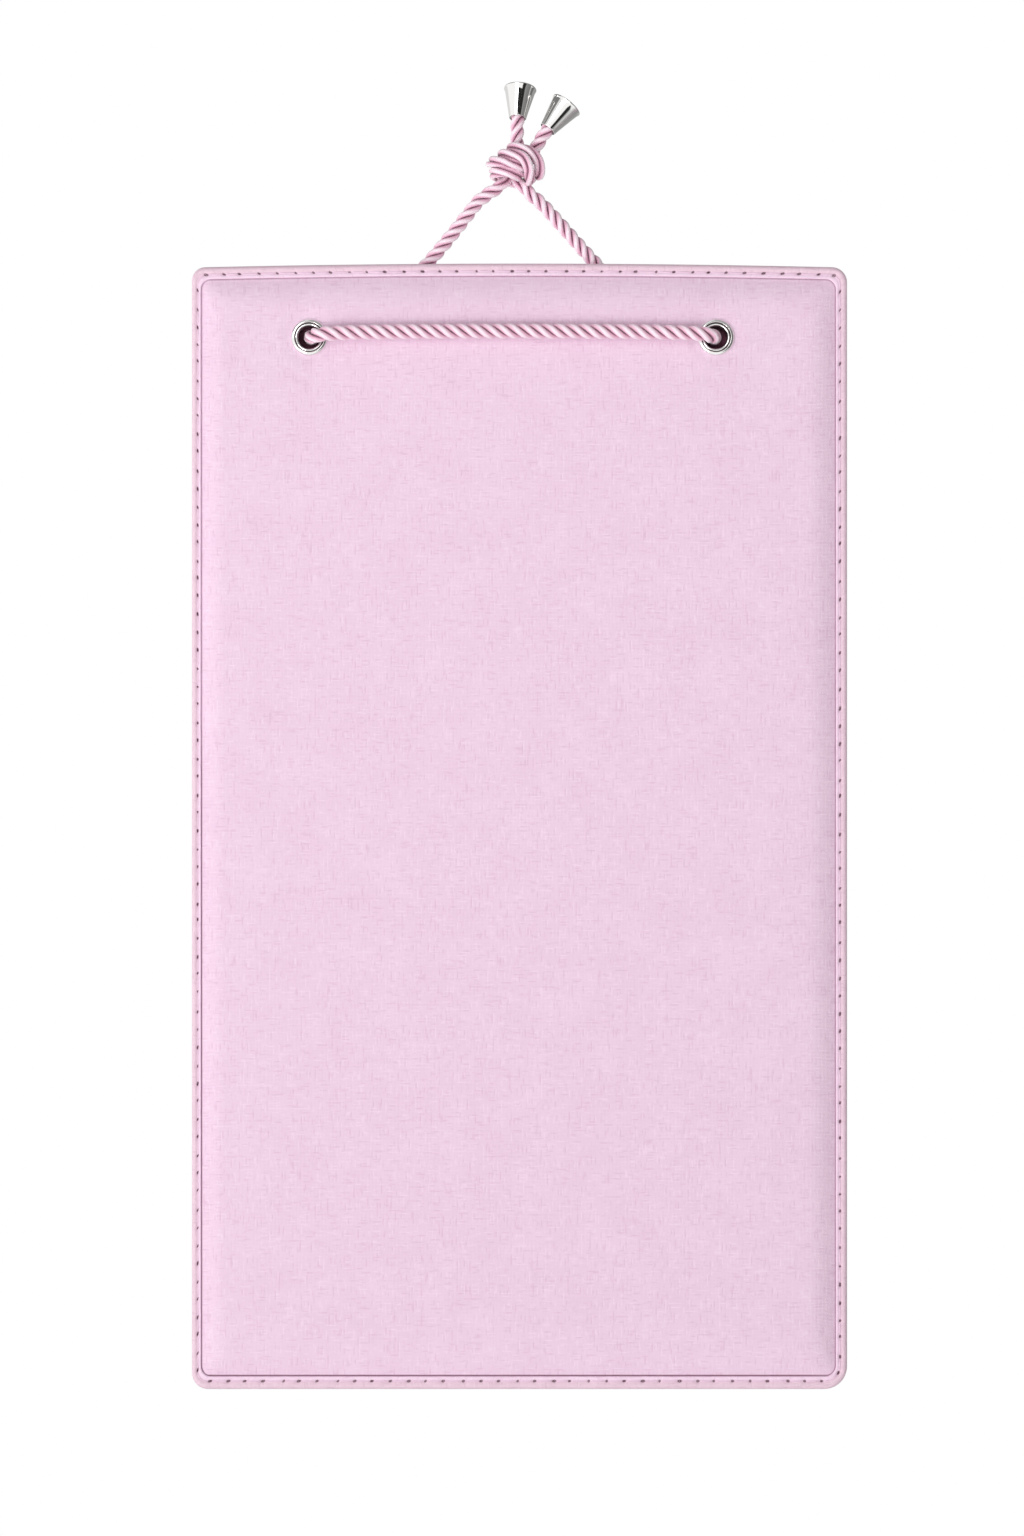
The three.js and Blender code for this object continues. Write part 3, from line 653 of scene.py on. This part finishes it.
lip_run = run_along(np.array(lip_section)) / 1000
edge_binding = wrapped_strip("edge_binding_strip", rings, ring_run, lip_run)
mark_needle_holes(edge_binding, needle_shade_marks)
close_seams(edge_binding)
bound_linen, tree, shader = start_finish("bound_linen", paint(240, 212, 232), 0.8, sheen=0.12)
strip_map = place_on(tree, "UV")
shade, height = lay_weave(tree, strip_map, LINEN_THREAD)
_, over_lip, _ = split(tree, strip_map)
# The outer part of the strip is painted greyer as painted shade, and the inner lip lighter as painted light.
shaded_outer_tone = mix(tree, shade, paint(220, 187, 203), paint(241, 211, 225))
lit_inner_tone = mix(tree, shade, paint(236, 202, 226), paint(252, 224, 243))
strip_tone = mix(tree, fade(tree, over_lip, 0.0024, 0.0012), shaded_outer_tone, lit_inner_tone)
# The needle holes are painted dark plum: painted shade.
strip_tone = mix(tree, in_needle_holes(tree, 0.3, 0.6), strip_tone, paint(84, 42, 62))
lay_on(tree, shader, strip_tone, height, 0.00006)
edge_binding.data.materials.append(bound_linen)
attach(edge_binding, "board")
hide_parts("edge_binding")


# Stitching: one pink polyester thread on the front and one on the back, locked through the layers. It
# lies in the valley of the binding and dips into a needle hole every 5.5 mm.

THREAD_THICKNESS = 0.00034
THREAD_DIP = 0.0006


def directions(line):
    """The way that the line goes at each of its points."""
    ahead = np.gradient(line, axis=0)
    return ahead / np.linalg.norm(ahead, axis=1)[:, None]


def stitched_thread(name, valley, facing):
    """The thread along the stitches, in the binding's valley on the side that it faces."""
    around = np.linspace(0, 2 * math.pi, 9)
    dip = THREAD_DIP * np.exp(-((gap_to_needle / 0.0008) ** 2))
    level = valley + facing * (0.00006 - dip)
    ahead = directions(stitch_ring)
    aside = np.stack([ahead[:, 1], -ahead[:, 0]], axis=-1)
    rings = []
    for angle in around:
        shift = THREAD_THICKNESS / 2 * math.cos(angle)
        rings.append(np.stack([
            stitch_ring[:, 0] + aside[:, 0] * shift,
            level + THREAD_THICKNESS / 2 * math.sin(angle),
            stitch_ring[:, 1] + aside[:, 1] * shift,
        ], axis=-1))
    thread = wrapped_strip(name, rings, ring_run, THREAD_THICKNESS * around)
    mark_needle_holes(thread, np.tile(needle_pull, len(around)))
    close_seams(thread)
    return thread


THREAD_PINK = paint(238, 206, 228)
pink_thread, tree, shader = start_finish("pink_thread", THREAD_PINK, 0.55)
along, aside, _ = split(tree, place_on(tree, "UV"))
plies = calc(tree, "ADD", times(tree, along, 2200), times(tree, aside, 2900))
# Where the thread dives into a needle hole it is painted dark: painted shade.
shaded_thread_tone = mix(tree, in_needle_holes(tree, 0.25, 0.7), THREAD_PINK, paint(90, 46, 66))
lay_on(tree, shader, shaded_thread_tone, calc(tree, "FRACT", plies), 0.00004)
for name, valley, facing in (("stitching_front", -0.00685, -1), ("stitching_back", -0.00295, 1)):
    thread = stitched_thread(name, valley, facing)
    thread.data.materials.append(pink_thread)
    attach(thread, "board")


# Eyelets: nickelled brass, pressed in one piece. The front is a round outer rim, a groove and a funnel
# into the barrel, which goes through all layers to the fibre board and is rolled over a flat washer
# behind it.

NICKEL_WHITE = paint(246, 245, 243)
nickel, tree, shader = start_finish("bright_nickel", NICKEL_WHITE, 0.07, metallic=1)
handled = noise(tree, place_on(tree), 220, 3, 0.6)
tree.links.new(fade(tree, handled, 0.3, 0.8, 0.05, 0.1), shader.inputs["Roughness"])


def turned_piece(name, profile, steps, centre, smooth_angle=35):
    """A closed profile of (radius, place along Y), turned about the line along Y through the centre."""
    bpy.ops.object.select_all(action="DESELECT")
    bpy.ops.mesh.primitive_circle_add(vertices=len(profile), radius=0.001, fill_type="NOTHING")
    piece = name_added(name)
    move_points(piece, [(centre[0] + radius, centre[1] + along, centre[2]) for radius, along in profile])
    edit_all()
    bpy.ops.mesh.spin(steps=steps, angle=2 * math.pi, center=centre, axis=(0, 1, 0))
    bpy.ops.mesh.select_all(action="SELECT")
    bpy.ops.mesh.remove_doubles(threshold=1e-6)
    face_outwards()
    bpy.ops.object.shade_smooth_by_angle(angle=math.radians(smooth_angle))
    return piece


def quarter(centre_radius, centre_along, radius, depth, first, last, steps=8):
    """Part of an oval in the profile, between two angles from the outward direction."""
    turns = np.radians(np.linspace(first, last, steps + 1))
    return [(centre_radius + radius * math.cos(t), centre_along + depth * math.sin(t)) for t in turns]


SEAT = -0.0091
eyelet_profile = [
    (0.00557, SEAT), *quarter(0.00462, -0.00935, 0.00095, -0.00088, 0, 90, 14),
    *quarter(0.00462, -0.00965, 0.0002, -0.00058, 105, 170, 5), (0.0044, -0.0093), (0.00437, -0.0093),
    *quarter(0.00395, -0.0094, 0.0004, -0.0003, 10, 130, 9),
    (0.00357, -0.0093), (0.00345, -0.00905), (0.00336, -0.0087), (0.0033, -0.0083),
    (0.0033, -0.0065), (0.0033, -0.0038),
    *quarter(0.0038, -0.00355, 0.0005, 0.00035, 180, 90, 5),
    *quarter(0.0043, -0.00355, 0.0003, 0.00035, 90, 0, 4),
    (0.00365, -0.00355), (0.00365, -0.0065), (0.00365, SEAT),
]
washer_profile = [
    (0.0038, -0.0039), (0.0053, -0.0039), (0.0054, -0.00382), (0.0054, -0.00363), (0.0053, -0.00355),
    (0.0038, -0.00355),
]
GROOVE_RADIUS = 0.0044
grooved_nickel, tree, shader = start_finish("grooved_nickel", NICKEL_WHITE, 0.07, metallic=1)
x, _, z = split(tree, place_on(tree))
aside = minus(tree, calc(tree, "ABSOLUTE", x), EYELETS[1])
up = minus(tree, z, EYELET_HEIGHT)
from_axis = calc(tree, "SQRT", calc(tree, "ADD", calc(tree, "POWER", aside, 2), calc(tree, "POWER", up, 2)))
from_groove = calc(tree, "ABSOLUTE", minus(tree, from_axis, GROOVE_RADIUS))
# The groove and the inside of the barrel are painted dark grey: painted shade.
groove_shade = fade(tree, from_groove, 0.00006, 0.00016, 1, 0)
barrel_shade = fade(tree, from_axis, 0.00348, 0.00362, 0.9, 0)
shaded_nickel = mix(tree, calc(tree, "MAXIMUM", groove_shade, barrel_shade), NICKEL_WHITE, paint(104, 96, 98))
tree.links.new(shaded_nickel, shader.inputs["Base Color"])
for side, x in zip(("left", "right"), EYELETS):
    eyelet = turned_piece(f"eyelet_{side}_nickel", eyelet_profile, 96, (x, 0, EYELET_HEIGHT))
    washer = turned_piece(f"eyelet_washer_{side}_nickel", washer_profile, 72, (x, 0, EYELET_HEIGHT))
    eyelet.data.materials.append(grooved_nickel)
    washer.data.materials.append(nickel)
    for piece, node in ((eyelet, f"eyelet_{side}"), (washer, f"eyelet_washer_{side}")):
        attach(piece, "board")
        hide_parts(node)


# Cord: one three-strand satin cord, 4.3 mm thick, laid right-handed, from the left cap through the knot,
# down behind the board, across the front from eyelet to eyelet, up to the knot and out to the right cap.
# The whole line is worked out once, so that its strands run on unbroken from piece to piece.

CORD_THICKNESS = 0.0043
KNOT_THICKNESS = 0.0035
CORD_LAY = 0.01116
KNOT_LAY = 0.034
CORD_STEP = 0.0005
SPAN_SWELL = 0.09
STRAND_OUT = 0.56
STRAND_SIDES = 14

left_tail = [(0.0018, 0.0018, 0.024), (0.0015, 0.0008, 0.0207), (0.0014, 0.0008, 0.018)]
left_knot = [
    (0.0014, 0.0008, 0.015), (0.0017, 0.00065, 0.0101), (0.0013, -0.00065, 0.00695),
    (0.0022, -0.0016, 0.00375), (0.00085, -0.0045, 0.0035), (-0.00185, -0.00545, 0.0041),
    (-0.00455, -0.0038, 0.00455), (-0.0058, 0.0004, 0.00445), (-0.00365, 0.0046, 0.0036),
    (0.00035, 0.00565, 0.00255), (0.00355, 0.0044, 0.00225), (0.00535, 0.00065, 0.0028),
    (0.0051, -0.0025, 0.002), (0.0052, -0.00495, 0.00325), (0.005, -0.0066, 0.00545),
    (0.0032, -0.0068, 0.00825), (-0.0002, -0.00535, 0.00965), (-0.0029, -0.0025, 0.0099),
    (-0.00335, 0.00095, 0.0086), (-0.0021, 0.0019, 0.0062), (-0.00185, 0.00125, 0.0029),
    (-0.0038, 0.0004, 0.0006), (-0.007, 0, -0.0015),
]
left_leg = [
    (-0.0106, 0, -0.0042), (-0.013, 0, -0.0072), (-0.019, 0, -0.0148), (-0.0264, 0, -0.0235),
    (-0.034, 0, -0.031), (-0.042, 0, -0.0369), (-0.05, 0, -0.0412),
]
left_half_span = [
    (-0.05775, 0, -0.04472), (-0.05875, -0.00015, -0.04518), (-0.05975, -0.00066, -0.04565),
    (-0.06095, -0.0021, -0.0462), (-0.06145, -0.0042, -0.04645), (-0.0614, -0.00865, -0.0466),
    (-0.06084, -0.01075, -0.0465), (-0.0593, -0.01229, -0.0463), (-0.0572, -0.01285, -0.046),
    (-0.0501, -0.0127, -0.0456), (-0.0359, -0.0125, -0.0453), (-0.018, -0.0124, -0.04515),
]
right_half_span = [(-x, y, z) for x, y, z in reversed(left_half_span)]
right_leg = [
    (0.05, 0, -0.0412), (0.042, 0, -0.0369), (0.034, 0, -0.031), (0.0258, 0, -0.0235), (0.0144, 0, -0.0109),
    (0.0086, 0, -0.0046),
]
right_knot = [
    (0.0053, 0, -0.0018), (0.00355, 0.0002, 0.00025), (0.00125, 0.0017, 0.0027),
    (0.00085, 0.00265, 0.00605), (-0.00085, 0.0023, 0.0099), (-0.00085, -0.00065, 0.0116),
    (0.0016, -0.0038, 0.01185), (0.00485, -0.00475, 0.0107), (0.00745, -0.0041, 0.00815),
    (0.00825, -0.0025, 0.0056), (0.00805, -0.0004, 0.0041), (0.00665, 0.00305, 0.0048),
    (0.00305, 0.0058, 0.0057), (-0.001, 0.0062, 0.00695), (-0.00455, 0.00475, 0.00755),
    (-0.0065, 0.00105, 0.00765), (-0.0056, -0.00295, 0.0077), (-0.0029, -0.00555, 0.0073),
    (0.00015, -0.00575, 0.0064), (0.00275, -0.0041, 0.00615), (0.00465, -0.00125, 0.00695),
    (0.00575, 0.0004, 0.00955), (0.0078, 0.0002, 0.0136),
]
right_tail = [(0.0092, 0.0001, 0.0158), (0.0105, 0, 0.0177), (0.01244, 0.0006, 0.02037)]


def part_way(first, second, t, start, end):
    """What belongs to t, where first belongs to start and second to end."""
    return first + (second - first) * (t - start) / (end - start)


def smooth_line(points, step, between=40):
    """Points a step apart on a smooth line through the given ones, and where each given one lies on it."""
    given = np.array(points, float)
    padded = np.vstack([2 * given[0] - given[1], given, 2 * given[-1] - given[-2]])
    fine, marks = [], [0]
    for four in zip(padded, padded[1:], padded[2:], padded[3:]):
        knots = np.cumsum([0] + [np.linalg.norm(q - p) ** 0.5 for p, q in zip(four, four[1:])])
        t = np.linspace(knots[1], knots[2], between, endpoint=False)[:, None]
        ab, bc, cd = [part_way(four[k], four[k + 1], t, knots[k], knots[k + 1]) for k in range(3)]
        abc = part_way(ab, bc, t, knots[0], knots[2])
        bcd = part_way(bc, cd, t, knots[1], knots[3])
        fine.append(part_way(abc, bcd, t, knots[1], knots[2]))
        marks.append(marks[-1] + between)
    fine = np.vstack([*fine, given[-1]])
    along = run_along(fine)
    count = int(round(along[-1] / step))
    places = np.linspace(0, along[-1], count + 1)
    line = np.column_stack([np.interp(places, along, fine[:, k]) for k in range(3)])
    return line, [int(round(along[m] / along[-1] * count)) for m in marks]


def ways_along(line):
    """Two directions across the line at each point, carried along it without twisting."""
    ahead = directions(line)
    across = np.cross(ahead[0], (0, 1, 0))
    firsts = []
    for direction in ahead:
        across = across - across.dot(direction) * direction
        across /= np.linalg.norm(across)
        firsts.append(across)
    firsts = np.array(firsts)
    return firsts, np.cross(ahead, firsts)


cord_parts = [
    left_tail, left_knot, left_leg, left_half_span, [(0, -0.0124, -0.0451)], right_half_span, right_leg,
    right_knot, right_tail,
]
cord_line, cord_marks = smooth_line([point for part in cord_parts for point in part], CORD_STEP)
cord_across, cord_up = ways_along(cord_line)
part_starts = np.cumsum([0] + [len(part) for part in cord_parts])
cut_left_knot = cord_marks[part_starts[2] - 1]
cut_left_leg = cord_marks[part_starts[3]]
cut_span = cord_marks[part_starts[6] - 1]
cut_right_leg = cord_marks[part_starts[7]]
cord_end = len(cord_line) - 1

tight = np.zeros(len(cord_line))
left_knot_start = cord_marks[part_starts[1]]
right_knot_end = cord_marks[part_starts[8] - 1]
for first, last in ((left_knot_start, cut_left_knot), (cut_right_leg, right_knot_end)):
    tight[first + 6 : last - 6] = 1
tight = np.convolve(tight, np.hanning(21) / np.hanning(21).sum(), mode="same")
full = soft_step((-0.0085 - cord_line[:, 1]) / 0.003) * (cord_line[:, 2] < -0.04)
cord_half = (CORD_THICKNESS * (1 + SPAN_SWELL * full) + (KNOT_THICKNESS - CORD_THICKNESS) * tight) / 2
cord_turns = np.cumsum(CORD_STEP * ((1 - tight) / CORD_LAY + tight / KNOT_LAY))


def join_pieces(name, pieces):
    select_only(*pieces)
    bpy.ops.object.join()
    pieces[0].name = pieces[0].data.name = name
    return pieces[0]


strand_lines = []
for number in range(3):
    turn = (2 * math.pi * (cord_turns + number / 3))[:, None]
    outward = np.cos(turn) * cord_across + np.sin(turn) * cord_up
    middle = cord_line + STRAND_OUT * cord_half[:, None] * outward
    ahead = directions(middle)
    outward -= (outward * ahead).sum(1)[:, None] * ahead
    outward /= np.linalg.norm(outward, axis=1)[:, None]
    strand_lines.append((middle, outward, np.cross(ahead, outward)))


def twisted_cord(name, start, end):
    """The stretch of cord from one point of the line to another, as three strands laid round each other."""
    span = slice(start, end + 1)
    run = np.arange(start, end + 1) * CORD_STEP
    radius = ((0.44 + 0.03 * tight) * cord_half)[span, None]
    flank = ((0.42 + 0.08 * tight) * cord_half)[span, None]
    around = np.linspace(0, 2 * math.pi, STRAND_SIDES + 1)
    strands = []
    for number, (middle, outward, sideways) in enumerate(strand_lines):
        rings = [
            middle[span] + radius * math.cos(angle) * outward[span] + flank * math.sin(angle) * sideways[span]
            for angle in around
        ]
        strand = wrapped_strip(f"{name}_{number}", rings, run, around / (2 * math.pi))
        close_seams(strand)
        strands.append(strand)
    return join_pieces(name, strands)


FILAMENT_SLANT = -34
satin, tree, shader = start_finish("pink_satin", paint(246, 212, 230), 0.3, sheen=0.5, sheen_roughness=0.3)
along, around, _ = split(tree, place_on(tree, "UV"))
from_seam = minus(tree, 0.5, calc(tree, "ABSOLUTE", minus(tree, around, 0.5)))
slanted = calc(tree, "MULTIPLY_ADD", along, FILAMENT_SLANT, around)
lengthwise, crosswise = times(tree, along, 260), times(tree, slanted, 26)
filaments = noise(tree, wire(tree, "CombineXYZ", lengthwise, crosswise), 1, 2, 0.5)
# Painted light on the strands: near white along each crest as painted highlight, darker towards the grooves
# between them as painted shade.
highlit_crest_tone = mix(tree, filaments, paint(247, 216, 231), paint(255, 243, 249))
shaded_flank_tone = mix(tree, filaments, paint(233, 176, 200), paint(246, 207, 224))
strand_tone = mix(tree, fade(tree, from_seam, 0.06, 0.15), highlit_crest_tone, shaded_flank_tone)
strand_tone = mix(tree, fade(tree, from_seam, 0.2, 0.28), strand_tone, paint(180, 124, 148))
lay_on(tree, shader, strand_tone, filaments, 0.00012)

knot_left = twisted_cord("knot_and_tail_left", 0, cut_left_knot)
leg_left = twisted_cord("leg_left", cut_left_knot, cut_left_leg)
front_span = twisted_cord("front_span", cut_left_leg, cut_span)
leg_right = twisted_cord("leg_right", cut_span, cut_right_leg)
knot_right = twisted_cord("knot_and_tail_right", cut_right_leg, cord_end)
for piece in (knot_left, leg_left, front_span, leg_right, knot_right):
    piece.data.materials.append(satin)
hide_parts("cord_knot_left", "cord_left_tail")
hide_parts("cord_knot_right", "cord_right_tail")
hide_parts("cord_left_leg")
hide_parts("cord_right_leg")
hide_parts("cord_front_span")
for piece in (leg_left, front_span, leg_right):
    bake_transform(piece)
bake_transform(knot_left)
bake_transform(knot_right)


def cord_path(first, last):
    """Every fourth point of a stretch of the line, and its last one."""
    return [*cord_line[first:last:4].tolist(), cord_line[last].tolist()]


for piece, first, last, lay in (
    (knot_left, cut_left_knot, 0, "loose"),
    (leg_left, cut_left_knot, cut_left_leg, "taut"),
    (front_span, cut_left_leg, cut_span, "taut"),
    (leg_right, cut_right_leg, cut_span, "taut"),
    (knot_right, cut_right_leg, cord_end, "loose"),
):
    low, high = min(first, last), max(first, last)
    path = cord_path(low, high)
    path = path if first < last else path[::-1]


# Cord-end caps: nickelled bells, drawn from thin brass, slipped over the cord with the narrow mouth down.
# The cord's end is knotted inside, so that it can't slip back out.

CAP_PLACES = {"left": ((0.00152, 0.0008, 0.0215), 5, 17), "right": ((0.01072, 0, 0.018), 37, 10)}


def lean_over(piece, mouth, aside, back):
    """Stands a piece that was made along +Y at the origin on its mouth, leaning back and to the right."""
    places = points_of(piece)
    back, aside = math.radians(back), math.radians(aside)
    up = places[:, 1] * math.cos(back) + places[:, 2] * math.sin(back)
    behind = places[:, 1] * math.sin(back) - places[:, 2] * math.cos(back)
    x = places[:, 0] * math.cos(aside) + up * math.sin(aside)
    z = up * math.cos(aside) - places[:, 0] * math.sin(aside)
    move_points(piece, np.stack([mouth[0] + x, mouth[1] + behind, mouth[2] + z], axis=-1))


outside = [
    (0.0025, -0.00004), (0.00258, 0), (0.00263, 0.00006), (0.00266, 0.00014), (0.00269, 0.0003),
    (0.00274, 0.00056), (0.00284, 0.0011), (0.00318, 0.0026), (0.00359, 0.0044), (0.004, 0.0062),
    (0.0044, 0.0079), (0.00468, 0.009), (0.00484, 0.00938), (0.00496, 0.00954), (0.005, 0.00969),
    (0.00497, 0.00984), (0.00488, 0.00994), (0.00476, 0.00996),
]
inside = [(radius - 0.0003, along) for radius, along in reversed(outside[5:12])]
cap_profile = [*outside, (0.00464, 0.00986), (0.00452, 0.00964), *inside, (0.0025, 0.0003), (0.0025, 0)]
for side, (mouth, aside, back) in CAP_PLACES.items():
    cap = turned_piece(f"cord_cap_{side}_nickel", cap_profile, 96, (0, 0, 0))
    lean_over(cap, mouth, aside, back)
    close_seams(cap, 35)
    cap.data.materials.append(nickel)
    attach(cap, f"tail_{side}")
    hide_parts(f"cord_cap_{side}")


# Knotted cord ends: the last stretch of the cord, wound into a stopper inside each cap. Its three
# strands swirl round the ball.

STOPPER_RADIUS = 0.0031
STOPPER_HEIGHT = 0.0062

for side, (mouth, aside, back) in CAP_PLACES.items():
    bpy.ops.object.select_all(action="DESELECT")
    bpy.ops.mesh.primitive_uv_sphere_add(segments=96, ring_count=48, radius=1)
    stopper = name_added(f"cord_end_{side}_stopper")
    x, z, up = points_of(stopper).T
    turn = np.arctan2(z, x) * 3 + up * 3.2
    radius = STOPPER_RADIUS - 0.0004 * np.abs(np.sin(turn / 2)) ** 6 * (1 - up ** 2)
    move_points(stopper, np.stack([x * radius, STOPPER_HEIGHT + up * radius, z * radius], axis=-1))
    lean_over(stopper, mouth, aside, back)
    close_seams(stopper, 60)
    stopper.data.materials.append(satin)
    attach(stopper, f"tail_{side}")
    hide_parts(f"cord_end_{side}")


# Studio: a pale floor under the hanging board, white all round, two large soft lamps on the left, one high
# and one low, and a weaker light from everywhere.

bpy.ops.object.select_all(action="DESELECT")
bpy.ops.mesh.primitive_plane_add(size=2, location=(0, 0, -0.95))
floor = bpy.context.object
floor.name = "floor"
pale_floor, tree, shader = start_finish("pale_floor", paint(240, 240, 240), 0.9)
seen = tree.nodes.new("ShaderNodeLightPath")
white = wire(tree, "Emission", (1, 1, 1, 1), 1)
clear = wire(tree, "BsdfTransparent", (1, 1, 1, 1))
from_middle = wire(tree, "VectorMath", place_on(tree), operation="LENGTH").node.outputs["Value"]
whitened = times(tree, seen.outputs["Is Camera Ray"], fade(tree, from_middle, 0.3, 0.98, 0.7, 1))
shown = wire(tree, "MixShader", whitened, shader.outputs[0], white)
shown = wire(tree, "MixShader", seen.outputs["Is Glossy Ray"], shown, clear)
tree.links.new(shown, tree.nodes["Material Output"].inputs["Surface"])
floor.data.materials.append(pale_floor)

for name, height, tilt, energy in (("high_lamp", 0.45, 69, 5.0), ("low_lamp", -0.7, 106, 10.7)):
    bpy.ops.object.light_add(type="AREA", location=(-0.7, -1.55, height))
    lamp = bpy.context.object
    lamp.name = name
    lamp.data.shape = "SQUARE"
    lamp.data.size = 0.7
    lamp.data.energy = energy
    lamp.rotation_euler = (math.radians(tilt), 0, math.radians(-24))

world = bpy.data.worlds.new("white_studio")
bpy.context.scene.world = world
world.use_nodes = True
tree = world.node_tree
tree.nodes.clear()
x, y, height = split(tree, place_on(tree, "Generated"))
bearing = calc(tree, "ARCTAN2", x, times(tree, y, -1))
around = fade(tree, bearing, -math.pi, math.pi)


def levels_round(stops):
    """Grey levels by bearing: 0 degrees is the camera's side, and 90 degrees is on the picture's right."""
    ramp = tree.nodes.new("ShaderNodeValToRGB")
    tree.links.new(around, ramp.inputs[0])
    for degrees, _ in stops[1:-1]:
        ramp.color_ramp.elements.new((degrees + 180) / 360)
    for element, (_, level) in zip(ramp.color_ramp.elements, stops):
        element.color = (level, level, level, 1)
    return ramp.outputs[0]


low_ring = levels_round([(-180, 0.8), (-100, 0.95), (40, 0.95), (80, 0.28), (130, 0.3), (180, 0.7)])
level_ring = levels_round([
    (-180, 0.75), (-115, 0.75), (-105, 1), (14, 1), (18, 0.02), (37, 0.02), (41, 0.3), (58, 0.22),
    (78, 0.2), (84, 0.7), (90, 0.22), (104, 0.12), (120, 0.35), (150, 0.3), (180, 0.75),
])
raised_ring = levels_round([
    (-180, 0.75), (-115, 0.75), (-105, 1), (-18, 1), (-15, 0.02), (37, 0.02), (41, 0.3), (60, 0.22),
    (74, 0.25), (81, 0.7), (88, 0.25), (110, 0.2), (130, 0.4), (180, 0.75),
])
high_ring = levels_round([
    (-180, 0.2), (-66, 0.2), (-58, 0.8), (-18, 0.8), (0, 0.45), (60, 0.3), (180, 0.25),
])
mirrored = low_ring
for start, end, ring in ((-0.55, -0.45, level_ring), (0.21, 0.23, raised_ring), (0.35, 0.38, high_ring)):
    mirrored = mix(tree, fade(tree, height, start, end), mirrored, ring)
ALL_ROUND_LIGHT = 0.745
LEAST_LIGHT = 0.3
bounce = calc(tree, "MULTIPLY_ADD", height, -1, 1)
bounce = times(tree, calc(tree, "MULTIPLY_ADD", x, -0.38, bounce), ALL_ROUND_LIGHT)
bounce = calc(tree, "MAXIMUM", bounce, LEAST_LIGHT)
behind = calc(tree, "MULTIPLY_ADD", calc(tree, "MAXIMUM", y, 0), 0.6, 1)
bounce = times(tree, bounce, behind)
soft = wire(tree, "Background", bounce, 1)
shiny = wire(tree, "Background", mirrored, 1)
plain = wire(tree, "Background", (1, 1, 1, 1), 1)
rays = tree.nodes.new("ShaderNodeLightPath")
lit = wire(tree, "MixShader", rays.outputs["Is Glossy Ray"], soft, shiny)
direct = calc(tree, "MAXIMUM", rays.outputs["Is Camera Ray"], rays.outputs["Is Transmission Ray"])
shown = wire(tree, "MixShader", direct, lit, plain)
tree.links.new(shown, tree.nodes.new("ShaderNodeOutputWorld").inputs["Surface"])
bpy.context.scene.view_settings.view_transform = "Standard"
